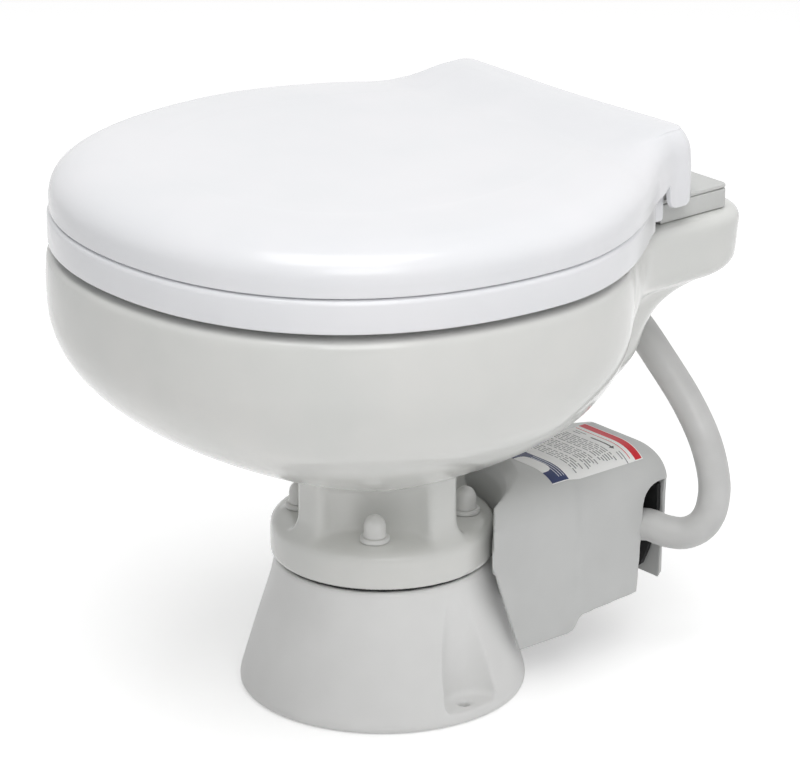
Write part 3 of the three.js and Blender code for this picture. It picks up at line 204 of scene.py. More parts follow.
def finish(name, colours, drift_mm, roughness, grain_mm, grain_height_mm, **shader):
    """A material whose colour drifts, whose roughness wanders and whose surface has a fine relief."""
    material = bpy.data.materials.new(name)
    tree = cleared(material)
    relief = add(tree, "ShaderNodeBump", {
        "Height": noise(tree, grain_mm), "Strength": 1.0, "Distance": grain_height_mm * MM})
    surface = add(tree, "ShaderNodeBsdfPrincipled", {
        "Base Color": blend_colours(tree, noise(tree, drift_mm), *colours),
        "Roughness": between(tree, noise(tree, drift_mm / 2), *roughness),
        "Normal": relief.outputs["Normal"]})
    for socket, value in shader.items():
        surface.inputs[socket.replace("_", " ")].default_value = value
    add(tree, "ShaderNodeOutputMaterial", {"Surface": surface.outputs["BSDF"]})
    return material


# %% [markdown]
# ## Finishes
#
# The bowl is vitreous china: a clay body fired with a glassy glaze. The glaze pools and levels
# itself, so it shines almost like glass but keeps long, shallow ripples of a few centimetres.

# %% Vitreous china
china = finish("vitreous_china_glaze", ("e3e3e0", "dedfdc"), 60, (0.09, 0.14), 34, 0.05, IOR=1.52)

# %% [markdown]
# Seat and lid are compression moulded: a hard white thermoset with a polished face, cooler in
# tone than the china. A thin clear skin gives the tight highlight on its rounded shoulder.

# %% Moulded seat resin
seat_resin = finish("moulded_seat_resin", ("f3f3f6", "eff0f3"), 80, (0.2, 0.27), 26, 0.03, Coat_Weight=0.25,
                    Coat_Roughness=0.12)

# %% [markdown]
# Pedestal and motor cover are injection moulded ABS in light grey, with the soft satin that a
# lightly blasted mould leaves. The grain is about half a millimetre, drawn a bit coarser here.

# %% Satin ABS
pedestal_abs = finish("satin_abs_pedestal", ("ececeb", "e8e8e7"), 45, (0.32, 0.4), 0.9, 0.012)
cover_abs = finish("satin_abs_cover", ("cfd0cf", "cacbca"), 45, (0.36, 0.44), 0.9, 0.015)

# %% [markdown]
# The hinge block and its plate are nylon, which is a little chalkier than ABS. The caps over
# the flange bolts are polyethylene: waxy, slightly translucent and brighter.

# %% Nylon and polyethylene
hinge_nylon = finish("moulded_nylon_hinge", ("d3d4d2", "cecfcd"), 30, (0.4, 0.5), 0.8, 0.012)
cap_polyethylene = finish("polyethylene_cap", ("e6e6e4", "dfdfdd"), 12, (0.3, 0.4), 1.2, 0.01,
                          Subsurface_Weight=0.08, Subsurface_Radius=(0.004, 0.004, 0.004))

# %% [markdown]
# The rinse hose is plasticised PVC. It comes off the extruder with a smooth skin and a faint
# waviness along its length.

# %% Hose PVC
hose_pvc = finish("extruded_pvc_hose", ("cfcfce", "c8c8c7"), 25, (0.34, 0.42), 7, 0.06)

# %% [markdown]
# Rubber is the darkest and dullest thing here: carbon black in EPDM for the seals, and a pale
# grey rubber for the buffers under seat and lid.

# %% Rubbers
seal_epdm = finish("black_epdm_seal", ("202122", "191a1b"), 10, (0.68, 0.8), 0.6, 0.03)
buffer_rubber = finish("grey_buffer_rubber", ("cbcbc8", "c3c3c0"), 8, (0.62, 0.74), 0.7, 0.02)

# %% [markdown]
# The pumps are glass-filled nylon: black, with a dry satin that shows the glass fibres as a
# fine mottling. The motor's steel case is painted dark grey.

# %% Pump nylon and motor paint
pump_nylon = finish("glass_filled_nylon", ("1c1d1f", "242629"), 6, (0.45, 0.6), 0.7, 0.03)
motor_paint = finish("stoved_motor_paint", ("2a2c30", "303338"), 20, (0.38, 0.5), 1.5, 0.03)

# %% [markdown]
# Bolts, rod and clips are stainless steel. Turning and drawing leave fine scratches, so the
# roughness wanders quickly. The small pump's end plate is brass, warmed by handling.

# %% Metals
stainless = finish("turned_stainless_steel", ("c3c4c6", "b5b7ba"), 3, (0.24, 0.38), 0.5, 0.01, Metallic=1.0)
pump_brass = finish("machined_brass", ("bda25e", "a88d4c"), 5, (0.28, 0.4), 0.6, 0.01, Metallic=1.0)

# %% [markdown]
# The label is a printed polyester film under a satin laminate. Its inks lie flat in the film,
# so they share one satin surface and only the colour changes.

# %% Label film and inks
label_looks = {
    "film": ("label_white_film", ("fdfdfc", "fafaf9"), 15),
    "red": ("label_red_ink", ("dc2434", "d81f30"), 9),
    "blue": ("label_blue_ink", ("27335f", "2c3968"), 9),
    "black": ("label_black_ink", ("2a2a2c", "323234"), 6),
    "grey": ("label_grey_ink", ("8d8e90", "9a9b9d"), 4),
    "pale": ("label_pale_ink", ("dfe3ea", "d6dbe4"), 6),
}
label_inks = {ink: finish(*look, (0.4, 0.48), 2, 0.005) for ink, look in label_looks.items()}
print("made", len(bpy.data.materials), "materials, of which", len(label_inks), "are inks of the label")

# %% [markdown]
# ## The studio
#
# The object stands on a white floor that runs into a white background, as in a catalogue. That
# full white is only for the camera and for reflections. Plain light comes from a dimmer world,
# dimmest at the camera's left, so faces that turn that way fall into a soft grey. One soft box
# overhead and one above the camera do the rest, with a very faint fill from the left.

# %% Floor and background
FLOOR_REACH, FLOOR_GLOW = 6.0, 0.42
BACKGROUND = 1.0
AMBIENT, LEFT_AMBIENT = 0.55, 0.12
ASIDE = (0.643, 0.766)  # the camera's right, in plan


def seen_ray(tree):
    """1 for rays of the camera, of reflections and through clear things, and 0 for plain light."""
    path = add(tree, "ShaderNodeLightPath")
    rays = path.outputs["Is Camera Ray"]
    for kind in ("Is Glossy Ray", "Is Transmission Ray"):
        rays = add(tree, "ShaderNodeMath", {0: rays, 1: path.outputs[kind]},
                   operation="MAXIMUM").outputs["Value"]
    return rays


def set_world():
    """A world that is dimmer at the camera's left, but white to the camera and in reflections."""
    world = bpy.data.worlds.new("studio")
    bpy.context.scene.world = world
    tree = cleared(world)
    direction = add(tree, "ShaderNodeTexCoord").outputs["Generated"]
    leftward = add(tree, "ShaderNodeVectorMath", {0: direction, 1: (-ASIDE[0], -ASIDE[1], 0)},
                   operation="DOT_PRODUCT").outputs["Value"]
    shade = between(tree, leftward, AMBIENT, LEFT_AMBIENT, -0.1, 0.9)
    strength = between(tree, seen_ray(tree), shade, BACKGROUND)
    glow = add(tree, "ShaderNodeBackground", {"Color": linear("ffffff"), "Strength": strength})
    add(tree, "ShaderNodeOutputWorld", {"Surface": glow.outputs["Background"]})


def make_floor():
    """A floor that keeps the object's shadow but is white to the camera further out."""
    mesh = bpy.data.meshes.new("floor")
    reach = FLOOR_REACH
    mesh.from_pydata([(-reach, -reach, 0), (reach, -reach, 0), (reach, reach, 0), (-reach, reach, 0)],
                     [], [(0, 1, 2, 3)])
    floor = linked("floor", mesh)
    floor.location.z = -0.0005
    material = bpy.data.materials.new("white_paper_floor")
    tree = cleared(material)
    paper = add(tree, "ShaderNodeBsdfDiffuse", {"Color": linear("f7f7f7")}).outputs["BSDF"]
    glow = add(tree, "ShaderNodeEmission", {"Color": linear("ffffff"), "Strength": FLOOR_GLOW})
    lit = add(tree, "ShaderNodeAddShader", {0: paper, 1: glow.outputs["Emission"]}).outputs["Shader"]
    chosen = add(tree, "ShaderNodeMixShader", {0: seen_ray(tree), 1: paper, 2: lit})
    add(tree, "ShaderNodeOutputMaterial", {"Surface": chosen.outputs["Shader"]})
    mesh.materials.append(material)
    return floor


set_world()
make_floor()
print("the floor reaches", FLOOR_REACH, "m each way")

# %% Lights


def soft_light(name, azimuth, elevation, distance, size, watts):
    """A square soft box that looks at the object from that side."""
    back = toward(azimuth, elevation)
    light = linked(name, bpy.data.lights.new(name, "AREA"))
    light.data.shape = "SQUARE"
    light.data.size = size
    light.data.energy = watts
    stand(light, Vector((0, 0, 0.2)) + back * distance, back)
    return light


lights = [
    soft_light("overhead_box", 40, 78, 2.4, 1.6, 23),
    soft_light("front_box", 58, 40, 3.0, 1.5, 19),
    soft_light("side_box", -40, 22, 3.2, 1.2, 0.5),
]
print("set", len(lights), "soft boxes")

# %% [markdown]
# ## Tools for shapes
#
# Most forms here are lofts: a stack of closed outlines, each with the same number of points,
# joined by quads. Subdivided primitives could give rough versions, but an outline of curves
# with measured sizes is how such a shell is drawn for its mould, and it meets the frame.

# %% Curves


def bezier(start, handle_a, handle_b, end, count):
    """Points along a cubic curve, without its last point."""
    t = np.linspace(0, 1, count, endpoint=False)[:, None]
    a, b, c, d = (np.array(p, float) for p in (start, handle_a, handle_b, end))
    return a * (1 - t) ** 3 + 3 * b * t * (1 - t) ** 2 + 3 * c * t ** 2 * (1 - t) + d * t ** 3


def arc(centre, radius, start, end, count):
    """Points along an arc from one angle to another, in degrees, both ends included."""
    angles = np.radians(np.linspace(start, end, count))
    return np.array(centre, float) + radius * np.stack([np.cos(angles), np.sin(angles)], 1)


def mirrored(half):
    """A closed outline from its right half, which runs from the front middle to the back middle."""
    return np.vstack([half, half[1:-1][::-1] * (-1, 1)])


def through(xs, ys, at):
    """A smooth curve through points, read at other places."""
    xs, ys, at = np.array(xs, float), np.array(ys, float), np.asarray(at, float)
    slopes = np.gradient(ys, xs)
    i = np.clip(np.searchsorted(xs, at, side="right") - 1, 0, len(xs) - 2)
    width = xs[i + 1] - xs[i]
    t = (at - xs[i]) / width
    return ((2 * t ** 3 - 3 * t ** 2 + 1) * ys[i] + (t ** 3 - 2 * t ** 2 + t) * width * slopes[i]
            + (3 * t ** 2 - 2 * t ** 3) * ys[i + 1] + (t ** 3 - t ** 2) * width * slopes[i + 1])


def eased(value, low, high):
    """0 below low, 1 above high, and a soft step between."""
    t = np.clip((np.asarray(value, float) - low) / (high - low), 0, 1)
    return t * t * (3 - 2 * t)


def level(outline, heights):
    """A flat outline lifted to a height, or to one height for each point."""
    return np.column_stack([outline, np.broadcast_to(heights, len(outline))])


def rolled(radius, turns):
    """Steps round an edge as (radius - its cosine part, radius - its sine part), for angles in degrees."""
    return [(radius * (1 - math.cos(turn)), radius * (1 - math.sin(turn))) for turn in np.radians(turns)]


# %% Meshes


def new_object(name, points, faces):
    """A mesh object from points in millimetres, with doubled points merged and faces turned outward."""
    mesh = bpy.data.meshes.new(name)
    mesh.from_pydata(place(points).tolist(), [], faces)
    shape = bmesh.new()
    shape.from_mesh(mesh)
    bmesh.ops.remove_doubles(shape, verts=shape.verts, dist=2e-6)
    bmesh.ops.dissolve_degenerate(shape, edges=shape.edges, dist=2e-6)
    bmesh.ops.recalc_face_normals(shape, faces=shape.faces)
    shape.to_mesh(mesh)
    shape.free()
    return linked(name, mesh)


def loft(name, rings, joined=False, capped=True):
    """A skin over a stack of rings, which ends in flat caps unless its ends meet or shrink to a line."""
    rings = np.array(rings, float)
    rows, count = rings.shape[:2]
    faces = []
    for row in range(rows if joined else rows - 1):
        a, b = row * count, (row + 1) % rows * count
        faces += [(a + i, a + (i + 1) % count, b + (i + 1) % count, b + i) for i in range(count)]
    if capped and not joined:
        last = (rows - 1) * count
        faces += [tuple(range(count)), tuple(range(last, last + count))]
    return new_object(name, rings.reshape(-1, 3), faces)


def turned(name, profile, centre=(0, 0, 0), along="Z", sides=96, joined=False):
    """A profile of (radius, distance) points turned round an axis through centre."""
    angles = np.linspace(0, 2 * np.pi, sides, endpoint=False)
    rings = []
    for radius, distance in profile:
        u, v, w = radius * np.cos(angles), radius * np.sin(angles), np.full(sides, float(distance))
        columns = {"Z": (u, v, w), "Y": (v, w, u), "X": (w, u, v)}[along]
        rings.append(np.column_stack(columns) + centre)
    return loft(name, rings, joined=joined)


def plug(name, radius, low, high, centre=(0, 0, 0), along="Z", sides=96):
    """A plain cylinder."""
    return turned(name, [(0, low), (radius, low), (radius, high), (0, high)], centre, along, sides)


def extruded(name, outline, low, high, along="Z"):
    """A closed outline pushed along an axis. For Y the outline is (x, z), and for X it is (y, z)."""
    outline = np.array(outline, float)
    ends = [np.full(len(outline), float(end)) for end in (low, high)]
    a, b = outline[:, 0], outline[:, 1]
    columns = {"Z": lambda w: (a, b, w), "Y": lambda w: (a, w, b), "X": lambda w: (w, a, b)}[along]
    return loft(name, [np.column_stack(columns(end)) for end in ends])


def boxed(name, low, high, bevel=0.0):
    """A box between two corners, with rounded edges if a bevel is given."""
    (x0, y0, z0), (x1, y1, z1) = low, high
    thing = extruded(name, [(x0, y0), (x1, y0), (x1, y1), (x0, y1)], z0, z1)
    if bevel:
        add_bevel(thing, bevel)
        settle(thing)
    return thing


def add_bevel(thing, width, segments=4):
    """Rounds the sharp edges."""
    modifier = thing.modifiers.new("rounding", "BEVEL")
    modifier.width = width * MM
    modifier.segments = segments
    modifier.limit_method = "ANGLE"
    modifier.angle_limit = math.radians(30)


def settle(thing):
    """Applies the modifiers of a thing to its mesh."""
    graph = bpy.context.evaluated_depsgraph_get()
    mesh = bpy.data.meshes.new_from_object(thing.evaluated_get(graph))
    thing.modifiers.clear()
    old, thing.data = thing.data, mesh
    bpy.data.meshes.remove(old)
    return thing


def combine(target, others, operation):
    """Joins others to the target, or cuts them out of it, and removes them."""
    for other in others:
        modifier = target.modifiers.new("step", "BOOLEAN")
        modifier.solver = "MANIFOLD"
        modifier.operation = operation
        modifier.object = other
    settle(target)
    for other in others:
        bpy.data.objects.remove(other)
    return target


def join(target, *others):
    """Adds the others to the target."""
    return combine(target, others, "UNION")


def cut(target, *others):
    """Takes the others out of the target."""
    return combine(target, others, "DIFFERENCE")


def cast(thing, grain, passes):
    """Rebuilds a joined solid as one even skin and relaxes it, which rounds every edge a little."""
    remesh = thing.modifiers.new("even", "REMESH")
    remesh.mode = "VOXEL"
    remesh.voxel_size = grain * MM
    relax = thing.modifiers.new("relax", "SMOOTH")
    relax.factor = 0.5
    relax.iterations = passes
    return settle(thing)


def dress(thing, body, material, slot, *nodes, sharp=None):
    """Gives a piece its finish and its smoothness, hangs it on the body it rides on, and hides the frame's
    nodes it stands for.
    """
    thing.data.materials.clear()
    thing.data.materials.append(material)
    thing.data.shade_smooth()
    if sharp:
        thing.data.set_sharp_from_angle(angle=math.radians(sharp))
    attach(thing, body)
    if nodes:
        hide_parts(*nodes)
    print(thing.name, "has", len(thing.data.polygons), "faces")
    return thing


# %% [markdown]
# ## The rinse hose
#
# The hose runs from the small pump under the cover, out through the notch, and up to the bowl's
# inlet under the shelf. It is stiff and short, held by a clip at each end, and keeps its arch.
# Its route is a list of given points, with a smooth curve through them.

# %% Hose
HOSE_RADIUS = 10.5
hose_route = [
    (38, 158, 78), (45, 158, 78), (52, 158.2, 78.4), (61, 159.9, 81.2), (72.4, 163.4, 83.6),
    (81.3, 168.2, 81.2), (91, 176.2, 80.3), (98, 183.6, 85), (100.4, 189.6, 93), (100.6, 193.2, 108),
    (98, 193, 124.4), (92, 192, 140.5), (83, 191.8, 153.3), (72, 190.8, 166.7),
    (60, 188.5, 180.3), (50, 187.4, 190), (40, 186.6, 199.1), (28, 184, 210),
    (16, 178.5, 219.5), (6.5, 169, 226.5), (1, 157, 229.8), (0, 144, 230), (0, 132, 230),
]


def hose_line(route, steps):
    """An even-tempered curve through a route: knots are spaced by the root of each distance."""
    route = np.array(route, float)
    gaps = np.sqrt(np.linalg.norm(np.diff(route, axis=0), axis=1))
    knots = np.concatenate([[0], np.cumsum(gaps)])
    at = np.linspace(0, knots[-1], steps)
    return np.column_stack([through(knots, route[:, i], at) for i in range(3)])


def make_hose():
    """A round tube along the route, as a curve with one open spline."""
    line = hose_line(hose_route, 90)
    data = bpy.data.curves.new("rinse_hose_tube", "CURVE")
    data.dimensions = "3D"
    spline = data.splines.new("POLY")
    spline.points.add(len(line) - 1)
    for point, where in zip(spline.points, place(line)):
        point.co = (*where, 1)
    data.bevel_depth = HOSE_RADIUS * MM
    data.bevel_resolution = 10
    data.use_fill_caps = True
    data.materials.append(hose_pvc)
    hose = linked("rinse_hose_tube", data)
    spline.use_smooth = True
    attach(hose, "base")
    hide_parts("rinse_hose")
    length = float(np.linalg.norm(np.diff(line, axis=0), axis=1).sum())
    return length


print("the hose is", round(make_hose()), "mm long")

# %% [markdown]
# ## The bowl
#
# The bowl is cast in one piece: an egg-shaped basin that narrows to a neck, a shelf behind the
# rim for the hinge, four pillars and a round flange. Slip casting leaves every inner corner
# filled and every edge soft. Forms with measured outlines are joined first, and the joined
# solid is then rebuilt as one even skin and relaxed, which gives just those soft corners.

# %% Outlines of bowl and shelf
RIM = 297
SEAM = 86
FLANGE_FOOT = 88
BOWL_SIDE, BOWL_FRONT, BOWL_BACK, BOWL_SIDE_AT = 183, -207, 135, -15
FRONT_FULLNESS, BACK_FULLNESS = 0.615, 0.56
BOWL_DEPTH = RIM - 145
RIM_SHARE, RIM_ROLL = 0.995, 3.2  # the rim's share of the full width, and its outer rounding
HINGE_BOLTS = ((-50, 172, 0), (50, 172, 0))
# the basin's outside: share of its depth below the rim, and share of its width
depth_shares = [0, 0.08, 0.17, 0.29, 0.4, 0.52, 0.635, 0.74, 0.835, 0.92, 1]
width_shares = [RIM_SHARE, 1, 1, 0.991, 0.96, 0.893, 0.79, 0.66, 0.52, 0.375, 0.23]


def front_quarter(front, side, side_at, count):
    """From the front middle to the widest point on the right."""
    reach = FRONT_FULLNESS * (side_at - front)
    return bezier((0, front), (FRONT_FULLNESS * side, front), (side, side_at - reach), (side, side_at), count)


def egg(front, side, side_at, back, count=48):
    """An egg-shaped outline, widest at side_at."""
    reach = BACK_FULLNESS * (back - side_at)
    rear = bezier((side, side_at), (side, side_at + reach), (BACK_FULLNESS * side, back), (0, back), count)
    return mirrored(np.vstack([front_quarter(front, side, side_at, count), rear, [(0, back)]]))


def bowl_ring(width_share, height):
    """The bowl's outline at a height, drawn in by a share of its width."""
    sizes = np.array([BOWL_FRONT, BOWL_SIDE, BOWL_SIDE_AT, BOWL_BACK]) * width_share
    return level(egg(*sizes), height)


def basin_outside():
    """The outside of the basin as a closed solid, from the neck up to the rim's rounded edge."""
    depths = np.linspace(1, 0.02, 60)
    widths = through(depth_shares, width_shares, depths)
    rings = [bowl_ring(width, RIM - depth * BOWL_DEPTH) for depth, width in zip(depths, widths)]
    for inset, drop in rolled(RIM_ROLL, (30, 60, 90)):
        rings.append(bowl_ring(RIM_SHARE - inset / BOWL_SIDE, RIM - drop))
    return loft("bowl_casting", rings)


SHELF_SIDE, SHELF_BACK, SHELF_CORNER, SHELF_FOOT = 109, 220, 34, 254
SHELF_FLARE, SHELF_FLARE_AT, SHELF_STRAIGHT_AT = 146, 70, 150
SHELF_FOOT_ROLL, SHELF_TOP_ROLL, SHELF_DRAFT = 13, 7, 2.4
# how the shelf sweeps down into the bowl: height, half width at the bowl, half width, back, corner
shelf_sweep = np.array([
    (148, 24, 28, 76, 24), (156, 34, 40, 94, 32), (168, 50, 56, 116, 42), (180, 70, 70, 136, 46),
    (190, 84, 78, 149, 46), (200, 95, 82, 158, 44), (208, 102, 84, 162, 42), (216, 108, 84.5, 164, 40),
    (228, 116, 86, 168, 38), (241, 126, 89, 178, 36), (249, 134, 92, 192, 34), (254, 140, 96, 207, 34)])


def shelf_outline(flare, flare_at, side, back, corner):
    """The shelf in plan at one height, from inside the bowl to its rear edge."""
    straight_at = min(SHELF_STRAIGHT_AT, back - corner - 0.5)
    bend = (straight_at - flare_at) / 2
    hollow = bezier((flare, flare_at), (flare - bend / 2, flare_at + bend), (side, straight_at - bend),
                    (side, straight_at), 16)
    sides = np.linspace((side, straight_at), (side, back - corner), 10, endpoint=False)
    rounding = arc((side - corner, back - corner), corner, 0, 90, 14)
    straight = np.linspace((side - corner, back), (0, back), 9)[1:]
    return mirrored(np.vstack([[(0, flare_at)], hollow, sides, rounding, straight]))


def shelf_ring(pull, height):
    """The full shelf in plan, with its free edges drawn in."""
    ring = shelf_outline(SHELF_FLARE, SHELF_FLARE_AT, SHELF_SIDE, SHELF_BACK, SHELF_CORNER)
    free = eased(ring[:, 1], SHELF_FLARE_AT, SHELF_STRAIGHT_AT)
    ring[:, 0] *= 1 - pull * free / SHELF_SIDE
    ring[:, 1] -= pull * free
    return level(ring, height)


def shelf():
    """The shelf behind the rim, with rounded edges and a hollow sweep down into the bowl."""
    rings = []
    for height in np.linspace(148, SHELF_FOOT, 44):
        flare, side, back, corner = (float(through(shelf_sweep[:, 0], shelf_sweep[:, k], height))
                                     for k in (1, 2, 3, 4))
        flare_at = SHELF_FLARE_AT - 0.35 * (SHELF_FOOT - height)
        rings.append(level(shelf_outline(flare, flare_at, side, back, corner), height))
    for lift, pull in rolled(SHELF_FOOT_ROLL, np.linspace(10, 90, 8)):
        rings.append(shelf_ring(pull + SHELF_DRAFT * (1 - lift / 36), SHELF_FOOT + lift))
    rings += [shelf_ring(pull, RIM - drop) for pull, drop in rolled(SHELF_TOP_ROLL, np.linspace(0, 90, 6))]
    return loft("shelf", rings)


# %% Neck, pillars and flange
BOLT_CIRCLE = 52.3
bolt_places = [(BOLT_CIRCLE * math.sin(math.radians(a)), -BOLT_CIRCLE * math.cos(math.radians(a)))
               for a in (45, 135, 225, 315)]


def flange():
    """The round foot of the casting: an upright edge, a soft shoulder and a slope up to the neck."""
    profile = [(0, FLANGE_FOOT), (69, FLANGE_FOOT), (70.4, 88.7), (71, 90.4), (71, 103), (70.9, 107),
               (70.4, 109), (69.2, 110.8), (67, 112), (63, 113), (57, 113.8), (50, 114.4), (40, 114.6),
               (0, 114.6)]
    return turned("flange", profile, sides=160)


def neck():
    """The neck between flange and basin, which widens upward."""
    profile = [(0, 108), (33, 108), (32, 114), (32, 122), (34, 131), (38, 140), (45, 149), (56, 157),
               (0, 170)]
    return turned("neck", profile, sides=128)


def pillar(angle):
    """A rib from the neck out over the flange, with hollow flanks, a blunt end and a flared foot."""
    half, reach, corner = 11.2, 61.4, 4.5
    flank = bezier((half, corner - reach), (half, -50), (13.5, -40), (26, -24), 12)
    side = np.vstack([[(0, -reach)], arc((half - corner, corner - reach), corner, -90, 0, 8), flank[1:],
                      [(26, -24), (15, 0)]])
    outline = np.vstack([side, side[1:][::-1] * (-1, 1)])
    turn = math.radians(angle)
    spin = np.array([[math.cos(turn), math.sin(turn)], [-math.sin(turn), math.cos(turn)]])
    flares = ((108, 0.075), (113.5, 0.075), (115, 0.048), (118, 0.022), (122, 0.007), (127, 0), (168, 0))
    rings = [level(outline * (1 + 3.2 * flare, 1 + flare) @ spin, height) for height, flare in flares]
    return loft("pillar", rings)


def boss(x, y):
    """The raised seat of one washer."""
    profile = [(0, 106), (13, 106), (11.5, 110), (10.3, 113), (10, 114.7), (0, 114.7)]
    return turned("boss", profile, (x, y, 0), sides=48)


# %% Basin, outlet and inlet
OUTLET_RADIUS = 19
INLET_HEIGHT = 230
CAVITY_SHARE, CAVITY_ROLL = 0.76, 8  # the opening's share of the full width, and its rounding
# the basin's inside, in the same shares as its outside
cavity_depths = [-0.03, 0.13, 0.17, 0.23, 0.4, 0.52, 0.635, 0.74, 0.835, 0.92]
cavity_widths = [CAVITY_SHARE, CAVITY_SHARE, 0.8, 0.89, 0.885, 0.81, 0.7, 0.56, 0.41, 0.2]


def basin_inside():
    """The hollow of the basin. It flares at the top, so the rim's inner edge comes out rounded."""
    rings = []
    for depth in np.linspace(0.92, 0.055, 60):
        rings.append(bowl_ring(float(through(cavity_depths, cavity_widths, depth)), RIM - depth * BOWL_DEPTH))
    for flare, drop in rolled(CAVITY_ROLL, (15, 30, 45, 60, 75, 90)):
        rings.append(bowl_ring(CAVITY_SHARE + flare / BOWL_SIDE, RIM - drop))
    rings.append(bowl_ring(CAVITY_SHARE + CAVITY_ROLL / BOWL_SIDE, RIM + 5))
    return loft("hollow", rings)


def make_bowl():
    """Joins the casting's forms, cuts its hollows and relaxes the whole."""
    casting = basin_outside()
    pillars = [pillar(angle) for angle in (0, 90, 180, 270)]
    bosses = [boss(x, y) for x, y in bolt_places]
    join(casting, shelf(), flange(), neck(), *pillars, *bosses)
    recess = join(plug("recess", 21, 129, 230, (0, 0, INLET_HEIGHT), "Y", 48),
                  boxed("recess_foot", (-21, 129, 140), (21, 230, INLET_HEIGHT)))
    wells = [plug("nut_well", 10.5, 140, SHELF_FOOT, bolt, sides=40) for bolt in HINGE_BOLTS]
    outlet = plug("outlet", OUTLET_RADIUS, 80, 175, sides=64)
    inlet = plug("inlet", 6.8, 60, 140, (0, 0, INLET_HEIGHT), "Y", 32)
    cut(casting, basin_inside(), recess, outlet, inlet, *wells)
    cast(casting, 1.9, 7)
    return dress(casting, "base", china, "glazed_porcelain", "bowl")


make_bowl()

# %% [markdown]
# ## The pedestal
#
# A cone of moulded ABS with thick walls. Two scallops in its sides give a screwdriver room to
# reach the floor screws, and the rear is open for the pump's pipe. A turned profile gives the
# cone. Its openings are cut with plain cylinders and boxes, which puts them at measured places,
# and relaxing the skin afterwards rounds all their edges alike.

# %% Pedestal
FOOT_HEIGHT, TOP_RADIUS, TOP_PLATE = 9, 68.3, 5.5
RECESS_RADIUS, RECESS_AT, RECESS_FLOOR, FLOOR_SCREW_AT = 20.5, 90, 8.6, 79.5


def make_pedestal():
    """A hollow cone with scallops, screw holes, a top opening and a rear opening."""
    heights = np.linspace(6, SEAM - 2.2, 24)
    radii = through([0, 9, 30, 52, 74, 86], [92.6, 90, 83.9, 77.2, 70.6, 68.2], heights)
    profile = [(0, 0), (88.6, 0), (90.4, 0.9), (91.1, 2.8)] + list(zip(radii, heights))
    cone = turned("pedestal_shell", profile + [(TOP_RADIUS - 1, SEAM), (0, SEAM)], sides=192)
    ceiling = SEAM - TOP_PLATE
    inside = turned("inside", [(0, -5), (85.7, -5), (85.7, FOOT_HEIGHT), (64.6, ceiling), (0, ceiling)],
                    sides=128)
    cut(inside, *[plug("wall", 25.5, 0.2, SEAM - 1, (side * RECESS_AT, 0, 0)) for side in (-1, 1)])
    scallop = [(0, RECESS_FLOOR), (RECESS_RADIUS - 3, RECESS_FLOOR),
               (RECESS_RADIUS - 0.9, RECESS_FLOOR + 0.9), (RECESS_RADIUS, RECESS_FLOOR + 3),
               (RECESS_RADIUS, SEAM + 5), (0, SEAM + 5)]
    cutters = []
    for side in (-1, 1):
        cutters.append(turned("scallop", scallop, (side * RECESS_AT, 0, 0), sides=96))
        cutters.append(plug("screw_hole", 3.9, -5, 14, (side * FLOOR_SCREW_AT, 0, 0), sides=32))
    arch = join(plug("arch", 31, 20, 110, (0, 0, 60), "Y", 64),
                boxed("arch_foot", (-31, 20, -5), (31, 110, 60)))
    cut(arch, boxed("top_stop", (-80, -120, ceiling), (80, 120, SEAM + 60)))
    mouth = plug("mouth", 32.3, 60, 100, sides=64)
    cut(cone, inside, *cutters, arch, mouth)
    cast(cone, 1.25, 10)
    return dress(cone, "base", pedestal_abs, "pedestal_plastic", "pedestal")


make_pedestal()

# %% [markdown]
# ## Bolts of the flange
#
# Each of the four bolts wears a washer and a tall domed cap, which hides its nut from salt and
# from feet. The cap is turned here as one profile with its rounded top and a small foot ring.

# %% Domed caps and washers
CAP_FOOT = 118


def make_cap(number, x, y):
    """A domed cap, hollow from below."""
    outside = [(7.3, 0), (7.3, 0.9), (6.9, 1.5), (6.9, 7)]
    dome = bezier((6.7, 7.4), (6.5, 10.6), (4.2, 13.3), (0, 14), 14)
    inside = [(0, 14), (0, 12.6), (3, 11.9), (5, 9.6), (5.9, 6.8), (6.1, 0)]
    profile = outside + [tuple(p) for p in dome] + inside
    cap = turned(f"dome_cap_shell_{number}", profile, (x, y, CAP_FOOT), sides=48, joined=True)
    return dress(cap, "base", cap_polyethylene, "cap_plastic", f"dome_cap_{number}", sharp=40)


def make_washer(number, x, y):
    """A flat washer with a soft outer edge."""
    low, high = 114.8, CAP_FOOT - 0.2
    profile = [(4.4, low), (9.0, low), (9.3, low + 0.3), (9.3, high - 0.7), (8.9, high - 0.2), (8.4, high),
               (4.4, high)]
    washer = turned(f"washer_ring_{number}", profile, (x, y, 0), sides=48, joined=True)
    return dress(washer, "base", cap_polyethylene, "cap_plastic", f"flange_washer_{number}", sharp=40)


for number, (x, y) in enumerate(bolt_places, 1):
    make_cap(number, x, y)
    make_washer(number, x, y)

# %% [markdown]
# ## Seat and lid outlines
#
# Seen from above, seat and lid share one outline: the egg of the bowl, drawn in at a waist and
# ending in a straight tail with rounded corners over the hinge.

# %% Outline with a tail
SEAT_UNDER, SEAT_TOP = 302, 322.6
LID_UNDER = 323.6
WIDEST_AT = -15
HINGE_Y, HINGE_Z = 150.5, 341
HINGE_AT = (0, HINGE_Y, HINGE_Z)
SPINE = (-40, 85)


def tailed_half(front, side, waist, tail, tail_at, back, corner):
    """The right half of an egg with a tail, up to the end of its rounded corner."""
    reach = 0.5 * (waist[1] - WIDEST_AT)
    return np.vstack([
        front_quarter(front, side, WIDEST_AT, 56),
        bezier((side, WIDEST_AT), (side, WIDEST_AT + reach), (waist[0] + 9, waist[1] - 16), waist, 40),
        bezier(waist, (waist[0] - 3, waist[1] + 5.3), (tail, tail_at - 5.3), (tail, tail_at), 34),
        arc((tail - corner, back - corner), corner, 0, 90, 18),
    ])


